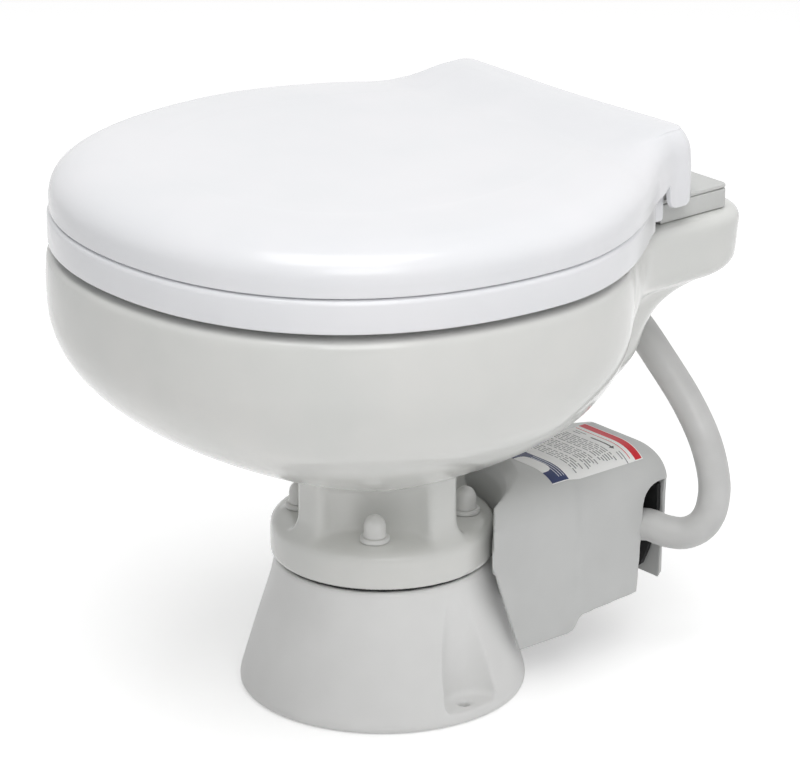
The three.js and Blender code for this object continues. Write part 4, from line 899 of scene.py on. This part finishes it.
def spine(outline):
    """The nearest point of a line along the middle of seat and lid, for each point of an outline."""
    return np.column_stack([np.zeros(len(outline)), np.clip(outline[:, 1], *SPINE)])


def towards_spine(outline, amounts):
    """An outline drawn in towards the spine, by one amount or one for each point."""
    centre = spine(outline)
    arm = outline - centre
    share = 1 - np.broadcast_to(amounts, len(outline)) / np.linalg.norm(arm, axis=1)
    return centre + arm * share[:, None]


# %% [markdown]
# The seat is a ring with a rounded outer edge and a top that falls gently towards the hole. Its
# tail is notched for the post of the hinge, and an arm on either side of the notch climbs to
# the hinge rod. Outline and hole get as many points as each other, so quads can join them.

# %% Seat ring
SEAT_FRONT, SEAT_SIDE, SEAT_TAIL, SEAT_BACK, SEAT_CORNER = -205, 182, 104.5, 141, 4.5
NOTCH_SIDE, NOTCH_FRONT = 31, 116.5
SEAT_FOOT_ROLL, SEAT_TOP_ROLL, HOLE_TOP_ROLL, HOLE_FOOT_ROLL = 1.8, 3.6, 9, 3


def seat_outline():
    """The seat's outline with the notch in its tail."""
    half = tailed_half(SEAT_FRONT, SEAT_SIDE, (119, 118), SEAT_TAIL, SEAT_BACK - 16, SEAT_BACK, SEAT_CORNER)
    rear = np.linspace((SEAT_TAIL - SEAT_CORNER, SEAT_BACK), (NOTCH_SIDE + 3, SEAT_BACK), 14)[1:]
    prong = arc((NOTCH_SIDE + 3, SEAT_BACK - 3), 3, 90, 180, 6)
    side = np.linspace((NOTCH_SIDE, SEAT_BACK - 3), (NOTCH_SIDE, NOTCH_FRONT + 4), 9)[1:]
    root = arc((NOTCH_SIDE - 4, NOTCH_FRONT + 4), 4, 0, -90, 6)
    middle = np.linspace((NOTCH_SIDE - 4, NOTCH_FRONT), (0, NOTCH_FRONT), 6)[1:]
    return mirrored(np.vstack([half, rear, prong, side, root[1:], middle]))


def drawn_in(outline, distance):
    """An outline moved inward along its own normals."""
    along = np.roll(outline, -1, 0) - np.roll(outline, 1, 0)
    along /= np.linalg.norm(along, axis=1)[:, None]
    return outline + distance * np.column_stack([-along[:, 1], along[:, 0]])


def hole_outline(outline):
    """The seat's hole, with a point for each point of the outline, at nearly the same angle."""
    middle = np.array([0, -35.0])
    dense = egg(-150, 114, WIDEST_AT, 76, 400)
    half_count = len(outline) // 2 + 1
    half = outline[:half_count] - middle
    angles = np.maximum.accumulate(np.arctan2(half[:, 0], -half[:, 1]) % (2 * np.pi))
    angles[np.argmax(angles):] = angles.max()
    angles = np.interp(angles, [0, angles.max()], [0, np.pi])
    arms = dense[:len(dense) // 2 + 1] - middle
    known = np.arctan2(arms[:, 0], -arms[:, 1]) % (2 * np.pi)
    known[-1] = np.pi
    points = np.column_stack([np.interp(angles, known, arms[:, i]) for i in range(2)]) + middle
    points[0, 0] = points[-1, 0] = 0
    return mirrored(points)


def make_seat():
    """A closed ring: up the outer edge, over the top, down the hole and back underneath."""
    outline = seat_outline()
    hole = hole_outline(outline)
    rings = [level(drawn_in(outline, inset), SEAT_UNDER + lift)
             for lift, inset in rolled(SEAT_FOOT_ROLL, (0, 30, 60, 90))]
    rings += [level(drawn_in(outline, inset), SEAT_TOP - drop)
              for inset, drop in rolled(SEAT_TOP_ROLL, np.linspace(0, 90, 7))]
    top = drawn_in(outline, 6)
    rings += [level(top + share * (hole - top), SEAT_TOP - 0.8 * share) for share in (0.3, 0.6)]
    rings += [level(drawn_in(hole, -out), SEAT_TOP - 1 - drop)
              for drop, out in rolled(HOLE_TOP_ROLL, np.linspace(0, 90, 8))]
    rings += [level(drawn_in(hole, -out), SEAT_UNDER + lift)
              for out, lift in rolled(HOLE_FOOT_ROLL, (0, 45, 90))]
    seat = loft("seat_moulding", rings, joined=True)
    return dress(seat, "seat", seat_resin, "seat_plastic", "seat_ring", sharp=50)


make_seat()

# %% Hinge arms of the seat
ROD_RADIUS, KNUCKLE = 3.5, 7.5
EAR_WIDTH = 10


def make_knuckle(name, outline, low, bevel, body):
    """A rounded arm from its side view, bored for the hinge rod."""
    arm = extruded(name, outline, low, low + EAR_WIDTH, "X")
    add_bevel(arm, bevel, 3)
    settle(arm)
    cut(arm, plug("bore", ROD_RADIUS + 0.4, -100, 100, HINGE_AT, "X", 32))
    return dress(arm, body, seat_resin, "seat_plastic", sharp=35)


arm_outline = np.vstack([
    [(HINGE_Y - 26, SEAT_TOP - 1), (HINGE_Y - 13, SEAT_TOP - 1), (HINGE_Y - 9, SEAT_TOP + 1.4)],
    arc((HINGE_Y, HINGE_Z), KNUCKLE, -35, 155, 22)])
for name, low in (("seat_arm_left", -44), ("seat_arm_right", 34)):
    make_knuckle(name, arm_outline, low, 1.1, "seat")

# %% [markdown]
# The lid is a thin crowned shell. Its shoulder turns over in a generous radius, the crown goes
# on rising slowly to the middle, and the tail swells up over the hinge. Beside the hinge block
# the side wall hangs down in a rounded lobe, and the rear wall is open for the knuckles. One
# loft makes all of it: the lower edge of each ring simply follows a height of its own.

# %% Lid shell
LID_FRONT, LID_SIDE, LID_TAIL, LID_BACK = -203.8, 180.8, 109, 162.5
LID_RISE, LID_TAIL_RISE = 31, 37.5
WINDOW_SIDE, WINDOW_TOP = 80.6, 350
LOBE_RADIUS, LOBE_FOOT, LOBE_AT = 12, 309.6, 149.5
LID_WALL, TAIL_WALL, LID_FOOT_ROLL, TAIL_FOOT = 9, 2.9, 0.9, 321.6
crown_insets = [0, 0.01, 1.2, 4, 8.5, 15, 25, 42, 66]
tail_insets = [0, 0.01, 0.4, 1, 2.4, 4.4, 7, 11, 34]
crown_shares = [0, 0.25, 0.45, 0.6, 0.72, 0.82, 0.9, 0.955, 0.99]
hollow_insets = [0, 0.01, 4, 10, 20, 60]
hollow_tail_insets = [0, 0.01, 0.6, 5, 8, 30]
hollow_shares = [0, 0.4, 0.62, 0.75, 0.82, 0.86]


def lid_outline():
    """The lid's outline. Its rear wall has a pair of close points at each side of the window."""
    half = tailed_half(LID_FRONT, LID_SIDE, (121, 120), LID_TAIL, 146, LID_BACK, 9)
    rear_x = np.concatenate([np.linspace(LID_TAIL - 9, WINDOW_SIDE + 0.4, 12)[1:], [WINDOW_SIDE],
                             np.linspace(WINDOW_SIDE - 0.4, 0, 18)])
    rear = np.column_stack([rear_x, np.full(len(rear_x), LID_BACK)])
    return mirrored(np.vstack([half, rear]))


def lid_foot(outline):
    """How low the lid's wall reaches at each point: level, a lobe beside the hinge, and a window."""
    x, y = np.abs(outline[:, 0]), outline[:, 1]
    across_lobe = np.clip((y - LOBE_AT) / LOBE_RADIUS, -1, 1)
    lobe = LOBE_FOOT + LOBE_RADIUS * (1 - np.sqrt(1 - across_lobe ** 2))
    before = np.interp(y, [LOBE_AT - LOBE_RADIUS - 0.9, LOBE_AT - LOBE_RADIUS], [0, 1])
    rise = 3.2 * eased(y, 126, 137)
    foot = (LID_UNDER + rise) * (1 - before) + lobe * before
    corner = eased(LID_TAIL - x, 3, 10) * (y > LOBE_AT)
    foot = foot * (1 - corner) + TAIL_FOOT * corner
    return np.where((x <= WINDOW_SIDE) & (y > LOBE_AT), WINDOW_TOP, foot)


def tail_part(y):
    """How far a place on the lid belongs to its tail."""
    return eased(y, 90, 146)


def lid_rise(y):
    """How far the crown stands over the lid's underside, which is more at the tail."""
    return LID_RISE + (LID_TAIL_RISE - LID_RISE) * tail_part(y)


def crown(outline, share, table, wall=0.0, at_foot=None):
    """One ring of the lid: drawn in and lifted, never below the wall's foot. at_foot is a height above it."""
    shares, insets, other_insets = table
    foot = lid_foot(outline) + (at_foot or 0)
    heights = foot
    if at_foot is None:
        heights = np.maximum(share * lid_rise(outline[:, 1]) + LID_UNDER, foot)
    actual = np.clip((heights - LID_UNDER) / lid_rise(outline[:, 1]), 0, None)
    body_inset = np.interp(actual, shares, insets)
    tail_inset = np.interp(actual, shares, other_insets)
    plan = towards_spine(outline, wall + body_inset + (tail_inset - body_inset) * tail_part(outline[:, 1]))
    if at_foot is None:
        heights = np.maximum(share * lid_rise(plan[:, 1]) + LID_UNDER, foot)
    return level(plan, heights)


def domed(outline, ring, share, top_share):
    """Rings that close the crown over the lid's spine."""
    middle, start = spine(outline), ring[:, :2]
    rings = []
    for part in np.linspace(0, 1, 7)[1:]:
        plan = start + (middle - start) * part
        rise = share + (top_share - share) * (1 - (1 - part) ** 2)
        rings.append(level(plan, LID_UNDER + rise * lid_rise(plan[:, 1])))
    return rings


def smooth_table(shares, insets, other_insets, count=120):
    """A table of shares and insets, filled in by smooth curves."""
    index = np.linspace(0, len(shares) - 1, count)
    rows = [through(range(len(row)), row, index) for row in (shares, insets, other_insets)]
    return [np.maximum(0, row) for row in rows]


def make_lid():
    """Outer rings from the foot to the crown, and inner rings from the foot to the ceiling."""
    outline = lid_outline()
    wall = LID_WALL + (TAIL_WALL - LID_WALL) * eased(outline[:, 1], 100, 125)
    skin = smooth_table(crown_shares, crown_insets, tail_insets)
    hollow = smooth_table(hollow_shares, hollow_insets, hollow_tail_insets, 40)
    outer = [crown(outline, 0, skin, inset, lift) for lift, inset in rolled(LID_FOOT_ROLL, (0, 30, 60, 90))]
    outer += [crown(outline, share, skin) for share in np.concatenate([[0.035], skin[0][6:]])]
    inner = [crown(outline, 0, hollow, wall, 0.0)]
    inner += [crown(outline, share, hollow, wall) for share in hollow[0]]
    outer += domed(outline, outer[-1], crown_shares[-1], 1.0)
    inner += domed(outline, inner[-1], hollow_shares[-1], 0.87)
    lid = loft("lid_moulding", inner[::-1] + outer, capped=False)
    return dress(lid, "lid_body", seat_resin, "seat_plastic", "lid", sharp=50)


make_lid()

# %% Hinge ears of the lid
ear_outline = np.vstack([arc((HINGE_Y, HINGE_Z), KNUCKLE, -180, 0, 22),
                         [(HINGE_Y + 3, 355), (HINGE_Y - KNUCKLE, 355.5)]])
for name, low in (("lid_ear_left", -76), ("lid_ear_right", 66)):
    make_knuckle(name, ear_outline, low, 0.9, "lid_body")

# %% [markdown]
# ## The hinge
#
# The block sits on the shelf under a thin cover plate, with a fine dark line between the two. A
# central post rises under the lid and carries the hinge rod. Block and plate are lofts on one
# outline, so that they line up, and rounded boxes and cylinders are enough for the rest.

# %% Hinge block, plate and rod
BLOCK_FOOT, BLOCK_TOP = 297.3, 309.7
BLOCK_SIDE, BLOCK_FRONT, BLOCK_BACK = 98, 142.6, 200


def plate_outline(inset=0.0, corner=3.5):
    """The block in plan, with square front corners and rounded rear ones."""
    side, front, back = BLOCK_SIDE - inset, BLOCK_FRONT + inset, BLOCK_BACK - inset
    right = np.vstack([[(side, front)], arc((side - corner, back - corner), corner, 0, 90, 10)])
    return np.vstack([right, right[::-1] * (-1, 1)])


def soft_slab(name, low, high, edge):
    """A slab on the block's outline with rounded upper edges and a rebate under its lower ones."""
    rings = [level(plate_outline(inset), low + lift)
             for inset, lift in ((1.1, 0), (1.1, 0.45), (0.3, 0.6), (0, 0.9))]
    rings += [level(plate_outline(inset), high - drop) for inset, drop in rolled(edge, np.linspace(0, 90, 5))]
    return loft(name, rings)


def make_hinge_block():
    """The block with its tongue, post, arm and bored barrel."""
    slab = soft_slab("hinge_block_moulding", BLOCK_FOOT, BLOCK_TOP, 0.7)
    foot = boxed("tongue", (-28, 119.5, BLOCK_FOOT), (28, 150, BLOCK_TOP), 0.8)
    post = boxed("post", (-28, 119.5, BLOCK_FOOT + 1), (28, 128.5, HINGE_Z + 5), 1.2)
    arm = boxed("arm", (-28, 119.6, HINGE_Z - 6), (28, HINGE_Y, HINGE_Z + 5), 1.2)
    barrel = turned("barrel", [(0, -28), (6.6, -28), (KNUCKLE, -27.1), (KNUCKLE, 27.1), (6.6, 28), (0, 28)],
                    HINGE_AT, "X", 48)
    bore = plug("bore", ROD_RADIUS + 0.3, -40, 40, HINGE_AT, "X", 32)
    wells = [plug("well", 7.4, 304, 320, bolt, sides=6) for bolt in HINGE_BOLTS]
    holes = [plug("hole", 4.1, 290, 320, bolt, sides=32) for bolt in HINGE_BOLTS]
    join(slab, foot, post, arm, barrel)
    cut(slab, bore, *wells, *holes)
    return dress(slab, "base", hinge_nylon, "hinge_plastic", "hinge_block", sharp=35)


make_hinge_block()
plate = soft_slab("hinge_plate_moulding", BLOCK_TOP + 0.3, BLOCK_TOP + 3.3, 1.0)
dress(plate, "base", hinge_nylon, "hinge_plastic", "hinge_cover_plate", sharp=35)
rod_profile = [(0, -80), (2.9, -80), (ROD_RADIUS, -79.3), (ROD_RADIUS, 79.3), (2.9, 80), (0, 80)]
rod = turned("hinge_rod_bar", rod_profile, HINGE_AT, "X", 32)
dress(rod, "base", stainless, "stainless_steel", "hinge_rod", sharp=35)

# %% [markdown]
# ## The motor cover
#
# The cover is a moulded hood: flat sides, a crowned top that rolls into them, and a slimmer rear
# half behind a shallow step. The roof falls away towards the left, and the front wall stands
# close behind the flange and rolls over into the roof. The lower edge steps up behind the
# pedestal, and a round-headed notch in each side lets the hose or a pipe through. Two nested
# lofts make the hood, and the openings are cut afterwards, as they are in the mould.

# %% Motor cover
COVER_SIDE, COVER_STEP, COVER_STEP_AT, COVER_STEP_LENGTH = 77, 2.5, 93, 13
COVER_FRONT, COVER_BACK, COVER_CORNER = 21, 179, 5
COVER_TOP, COVER_SHOULDER, COVER_WALL = 136.6, 25, 2.5
SHAFT_Z, PORT_Y = 60, 89.5
COVER_SCREWS = ((-44, 0, 62), (44, 0, 62))
GLAND_AT = (-48, 0, 92)


def cover_outline(shrink):
    """The cover in plan, drawn in by its wall for the inside."""
    side, back = COVER_SIDE - shrink, COVER_BACK - shrink
    rear, corner = side - COVER_STEP, COVER_CORNER - shrink
    step = bezier((side, COVER_STEP_AT), (side, COVER_STEP_AT + 6), (rear, COVER_STEP_AT + 7),
                  (rear, COVER_STEP_AT + COVER_STEP_LENGTH), 12)
    flank = np.linspace((rear, COVER_STEP_AT + COVER_STEP_LENGTH), (rear, back - corner), 12, endpoint=False)
    front = np.linspace((0, COVER_FRONT), (side, COVER_FRONT), 8)
    rise = np.linspace((side, COVER_FRONT), (side, COVER_STEP_AT), 9)[1:-1]
    rounding = arc((rear - corner, back - corner), corner, 0, 90, 10)
    rear_wall = np.linspace((rear - corner, back), (0, back), 9)[1:]
    return mirrored(np.vstack([front, rise, step, flank, rounding, rear_wall]))


def hood(name, shrink):
    """The cover's form down to below its lower edge, as a closed solid."""
    outline = cover_outline(shrink)
    low = COVER_TOP - COVER_SHOULDER - shrink
    rear = eased(outline[:, 1], COVER_STEP_AT, COVER_BACK)
    rings = [level(outline, -6)]
    for t in 1 - np.cos(np.linspace(0, np.pi / 2, 22)):
        rise = (1 - (1 - t) ** 2.5) ** 0.48
        plan = outline.copy()
        plan[:, 0] *= 1 - 32 * t / COVER_SIDE
        plan[:, 1] -= 16 * t ** 0.9 * rear
        rings.append(level(plan, low + rise * COVER_SHOULDER))
    return loft(name, rings)


def cover_floor():
    """What the lower edge leaves out: low behind the pedestal, with a soft step up to the rear."""
    corner = arc((173, 46.6), 6, -90, 0, 8)
    line = np.vstack([[(-5, 29.3), (80, 29.3)], bezier((90, 29.3), (97, 29.9), (98, 35.6), (104, 37.2), 10),
                      [(104, 37.2), (150, 40)], corner, [(COVER_BACK + 5, 52)]])
    return extruded("floor_cut", np.vstack([line, [(COVER_BACK + 5, -10), (-5, -10)]]), -85, 85, "X")


# how the front wall rolls over into the top: distance behind the wall, and height
front_lip = [(0, 106), (1, 116), (3, 125), (6, 131), (10, 135), (15, 137.2), (20, 150)]


def flange_room(grow=0.0):
    """The room round the flange: a cylinder, with a straight edge that runs past it at each side."""
    reach = 72 + grow
    lip = [(reach + out, height - grow) for out, height in front_lip]
    room = turned("room", [(0, SEAM), (reach, SEAM), *lip, (0, 150)], sides=160)
    for side in (1, -1):
        rings = []
        for height, edge_reach in ((SEAM, 68.6), (102, 68.6), (105, 69.3), (150, 69.3)):
            edge = [(side * x, (edge_reach + grow - ASIDE[0] * x) / ASIDE[1]) for x in (90, 40)]
            rings.append(level(np.array([(side * 40, -5), (side * 90, -5), *edge])[::side], height))
        join(room, loft("past_room", rings))
    return room


def left_slope(lower=0.0):
    """What the roof's fall towards the left takes off the hood."""
    ridge, fall, far = 14, 0.4, -90
    low = COVER_TOP + 0.2 - lower
    outline = [(ridge, low), (ridge, 150), (far, 150), (far, low - fall * (ridge - far))]
    return extruded("left_slope", outline, -5, 190, "Y")


def front_cuts():
    """Room for pedestal and flange, and the slanted front edge of the side walls."""
    cone = turned("pedestal_room", [(0, -8), (91.7, -8), (91.7, FOOT_HEIGHT), (69.3, SEAM), (72, SEAM + 0.1),
                                    (72, 90), (0, 90)], sides=160)
    slant = [(-5, -10), (60, -10), (49, 29), (43, 45), (37.6, 60), (32.2, 75), (28.8, 85), (26, 90.5),
             (-5, 90.5)]
    return [flange_room(), cone, extruded("slant", slant, -85, 85, "X")]


def notch(side):
    """The opening for the hose: a round head, a leaning front edge, and a strip of the rear corner."""
    head = arc((170, 99), 13.5, 176, 90, 10)
    outline = np.vstack([[(176.5, 0), (151.5, 0), (152, 40)], head, [(176.5, 112.5)]])
    near, far = (60, 85) if side > 0 else (-85, -60)
    flank = extruded("notch", outline, near, far, "X")
    strip = np.array([(67.5, 0), (68, 40), (70.5, 90), (72, 112.5), (90, 112.5), (90, 0)]) * (side, 1)
    return join(flank, extruded("strip", strip[::side], 174, COVER_BACK + 5, "Y"))


def make_cover():
    """The hood, hollowed, fitted round pedestal and flange, and opened for hose, pipe and screws."""
    shell = hood("motor_cover_moulding", 0)
    pipe = boxed("pipe_way", (-85, PORT_Y - 21, -8), (-69.5, PORT_Y + 21, 81))
    screws = [plug("screw_way", 2.4, 165, 185, screw, "Y", 24) for screw in COVER_SCREWS]
    gland = plug("gland_way", 6, 165, 185, GLAND_AT, "Y", 32)
    inside = cut(hood("inside", COVER_WALL), flange_room(COVER_WALL), left_slope(2.7))
    cut(shell, left_slope(), inside, *front_cuts(), cover_floor(), notch(1), notch(-1), pipe, *screws, gland)
    cast(shell, 1.05, 3)
    return dress(shell, "base", cover_abs, "cover_plastic", "motor_cover")


cover = make_cover()

# %% A black sheet inside the rear wall: painted shade that shows through the hose's notch
pad_outline = [(-30, 108), (68.5, 108), (68.5, 91), (65, 76), (60, 60), (54, 48), (46, 41.5), (-30, 41.5)]
# The sheet is painted shade: it darkens the notch, where the cover's inside lies in shade.
pad = extruded("notch_painted_shade_pad", pad_outline[::-1], 173.3, 176.2, "Y")
cut(pad, plug("way", 3, 165, 185, COVER_SCREWS[1], "Y", 24))
dress(pad, "base", seal_epdm, "seal_rubber", sharp=30)

# %% [markdown]
# ## The label
#
# The label is a printed sticker on the cover's top, with a plain layout: a red band at the rear,
# a line with an arrow, rows of short grey strokes and a blue block with a bare plaque at the
# front. A flat picture could be wrapped on. Here the artwork is a grid of faces, each with one
# ink, so its edges stay crisp at any size, and the grid is pressed onto the cover from above.

# %% Label
LABEL_LEFT, LABEL_RIGHT, LABEL_FRONT, LABEL_REAR = 13, 67.5, 83, 160.5
BAND_DEPTH = 14
PLAQUE_AT, PLAQUE_HALF = (31, 0), (14, 9.6)


def label_artwork():
    """The inked rectangles as (ink, left, right, front, rear), in millimetres on the label."""
    width, depth = LABEL_RIGHT - LABEL_LEFT, LABEL_REAR - LABEL_FRONT
    art = [("red", 0, width, depth - 6.2, depth - 0.6), ("red", 1.5, width - 1.5, depth - 9.9, depth - 9.3),
           ("black", 21, 40, depth - 14.9, depth - 13.7)]
    for left, right, front in ((5, 15, 13.4), (5, 12, 15.6), (46, 55, 13.4), (46, 52, 15.6)):
        art.append(("grey", left, right, depth - front, depth - front + 0.8))
    art += [("black", 40 + 0.7 * i, 40.7 + 0.7 * i, depth - 16.2 + 0.55 * i, depth - 12.4 - 0.55 * i)
            for i in range(4)]
    random = np.random.default_rng(7)
    for top, rows in ((depth - 19.5, 6), (depth - 34.5, 5), (depth - 47.5, 4)):
        for row in range(rows):
            rear, at = top - 2.2 * row, 3.0
            while at < width - 6:
                length = float(random.uniform(2.5, 7.5))
                art.append(("grey", at, min(at + length, width - 3), rear - 0.9, rear))
                at += length + 1.3
    art.append(("blue", 0, width, 0, BAND_DEPTH))
    art += [("pale", 22, width - 3, BAND_DEPTH - 6 + 2.1 * i, BAND_DEPTH - 5.4 + 2.1 * i) for i in range(3)]
    return art


def make_label():
    """A grid with lines at every edge of the artwork, pressed onto the cover."""
    width, depth = LABEL_RIGHT - LABEL_LEFT, LABEL_REAR - LABEL_FRONT
    art = label_artwork()
    (middle_x, middle_y), (half_x, half_y) = PLAQUE_AT, PLAQUE_HALF
    columns = sorted({round(v, 3) for a in art for v in a[1:3]} | {0, width}
                     | set((middle_x + np.linspace(-half_x, half_x, 66)).round(3)))
    rows = sorted({round(v, 3) for a in art for v in a[3:5]} | {0, depth}
                  | set(np.linspace(0, middle_y + half_y, 34).round(3)))
    inks = list(label_inks)
    points = [(LABEL_LEFT + c, LABEL_FRONT + r, 150) for r in rows for c in columns]
    faces, colours = [], []
    n = len(columns)
    for j in range(len(rows) - 1):
        for i in range(n - 1):
            x, y = (columns[i] + columns[i + 1]) / 2, (rows[j] + rows[j + 1]) / 2
            ink = "film"
            for name, left, right, front, rear in art:
                if left < x < right and front < y < rear:
                    ink = name
            if ((x - middle_x) / half_x) ** 4 + ((y - middle_y) / half_y) ** 4 < 1:
                ink = "film"
            faces.append((j * n + i, j * n + i + 1, (j + 1) * n + i + 1, (j + 1) * n + i))
            colours.append(inks.index(ink))
    mesh = bpy.data.meshes.new("cover_label_film")
    mesh.from_pydata(place(points).tolist(), [], faces)
    label = linked("cover_label_film", mesh)
    press = label.modifiers.new("press", "SHRINKWRAP")
    press.target = cover
    press.wrap_method = "PROJECT"
    press.use_project_z = True
    press.use_negative_direction = True
    press.use_positive_direction = False
    press.offset = 0.12 * MM
    settle(label)
    for ink in label_inks.values():
        label.data.materials.append(ink)
    label.data.polygons.foreach_set("material_index", colours)
    label.data.shade_smooth()
    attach(label, "base")
    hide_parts("cover_label")
    print("the label has", len(faces), "faces")
    return label


make_label()

# %% [markdown]
# ## What shows of the pump
#
# From behind, a ribbed discharge spigot, a gland for the cable and two screws stand out of the
# cover, and the hose wears a clip at each end. Spigot, gland and screws are lathe work, so each
# is one profile turned round its axis. The pump and motor under the cover hardly show. They keep
# their frame solids and only get finishes of their own.

# %% Discharge spigot, gland and screws


def make_spigot():
    """The discharge spigot: a pipe with three barbs, open at its end."""
    start, end = -52.2, -92.2
    profile = [(15, start), (18.6, start), (19, start - 0.6)]
    for share in (0.35, 0.6, 0.85):
        at = start - 40 * share
        profile += [(19, at + 2.4), (19.8, at + 0.4), (19.8, at - 0.2), (18.9, at - 1.8)]
    profile += [(18.9, end + 0.8), (18.3, end), (15.4, end), (15, end + 0.6)]
    spigot = turned("discharge_spigot_pipe", profile, (0, PORT_Y, SHAFT_Z), "X", 72, joined=True)
    return dress(spigot, "base", pump_nylon, "pump_plastic", "discharge_spigot", sharp=35)


def make_gland():
    """The gland for the cable: a hexagon and a domed nut, with an open middle."""
    back = COVER_BACK + 0.3
    profile = [(3.2, 173.5), (5.6, 173.5), (5.6, back + 5), (6.8, back + 5), (6.8, back + 10),
               (5.6, back + 12.6), (4.4, back + 13.6), (3.2, back + 13.7)]
    nut = turned("cable_gland_nut", profile, GLAND_AT, "Y", 40, joined=True)
    collar = plug("collar", 8, back, back + 5.4, GLAND_AT, "Y", 6)
    join(nut, cut(collar, plug("bore", 3.2, 170, 200, GLAND_AT, "Y", 40)))
    return dress(nut, "base", pump_nylon, "pump_plastic", "cable_gland", sharp=30)


def make_cover_screw(name, spot):
    """A pan-head screw with a cross recess."""
    back = COVER_BACK + 0.3
    profile = [(0, 170), (1.6, 170.2), (2, 171), (2, back), (4.2, back), (4.15, back + 0.9),
               (3.3, back + 1.7), (1.6, back + 2), (0, back + 2)]
    screw = turned(f"{name}_pan_head", profile, spot, "Y", 40)
    x, _, z = spot
    cut(screw, *[boxed("slot", (x - w, back + 0.9, z - h), (x + w, back + 3, z + h))
                 for w, h in ((2.3, 0.4), (0.4, 2.3))])
    return dress(screw, "base", stainless, "stainless_steel", name, sharp=30)


make_spigot()
make_gland()
for name, spot in zip(("cover_screw_left", "cover_screw_right"), COVER_SCREWS):
    make_cover_screw(name, spot)

# %% Finishes of the frame's own solids
node_finishes = {
    seal_epdm: ["bowl_gasket", "joker_valve", "shaft_seal", "rinse_impeller"],
    buffer_rubber: ["seat_bumper_", "lid_bumper_"],
    stainless: ["flange_bolt_", "flange_nut_", "hinge_bolt_", "motor_shaft", "macerator_blade", "hose_clip_"],
    motor_paint: ["motor_can", "motor_rear_bell", "motor_armature"],
    pump_brass: ["rinse_pump_lid"],
    cap_polyethylene: ["hinge_nut_"],
    pump_nylon: ["outlet_elbow", "macerator_housing", "motor_adapter", "discharge_impeller",
                 "rinse_pump_body", "rinse_outlet_barb", "rinse_inlet_barb", "bowl_inlet_spigot"],
}


def finish_nodes():
    """Gives every solid that stays visible its real finish."""
    done = 0
    for material, starts in node_finishes.items():
        for name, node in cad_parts.items():
            if any(name.startswith(start) for start in starts):
                node.data.materials.clear()
                node.data.materials.append(material)
                done += 1
    return done


print(finish_nodes(), "solids of the frame have their finish")

# %% Last settings
bpy.context.scene.view_settings.view_transform = "Standard"
bpy.context.view_layer.update()
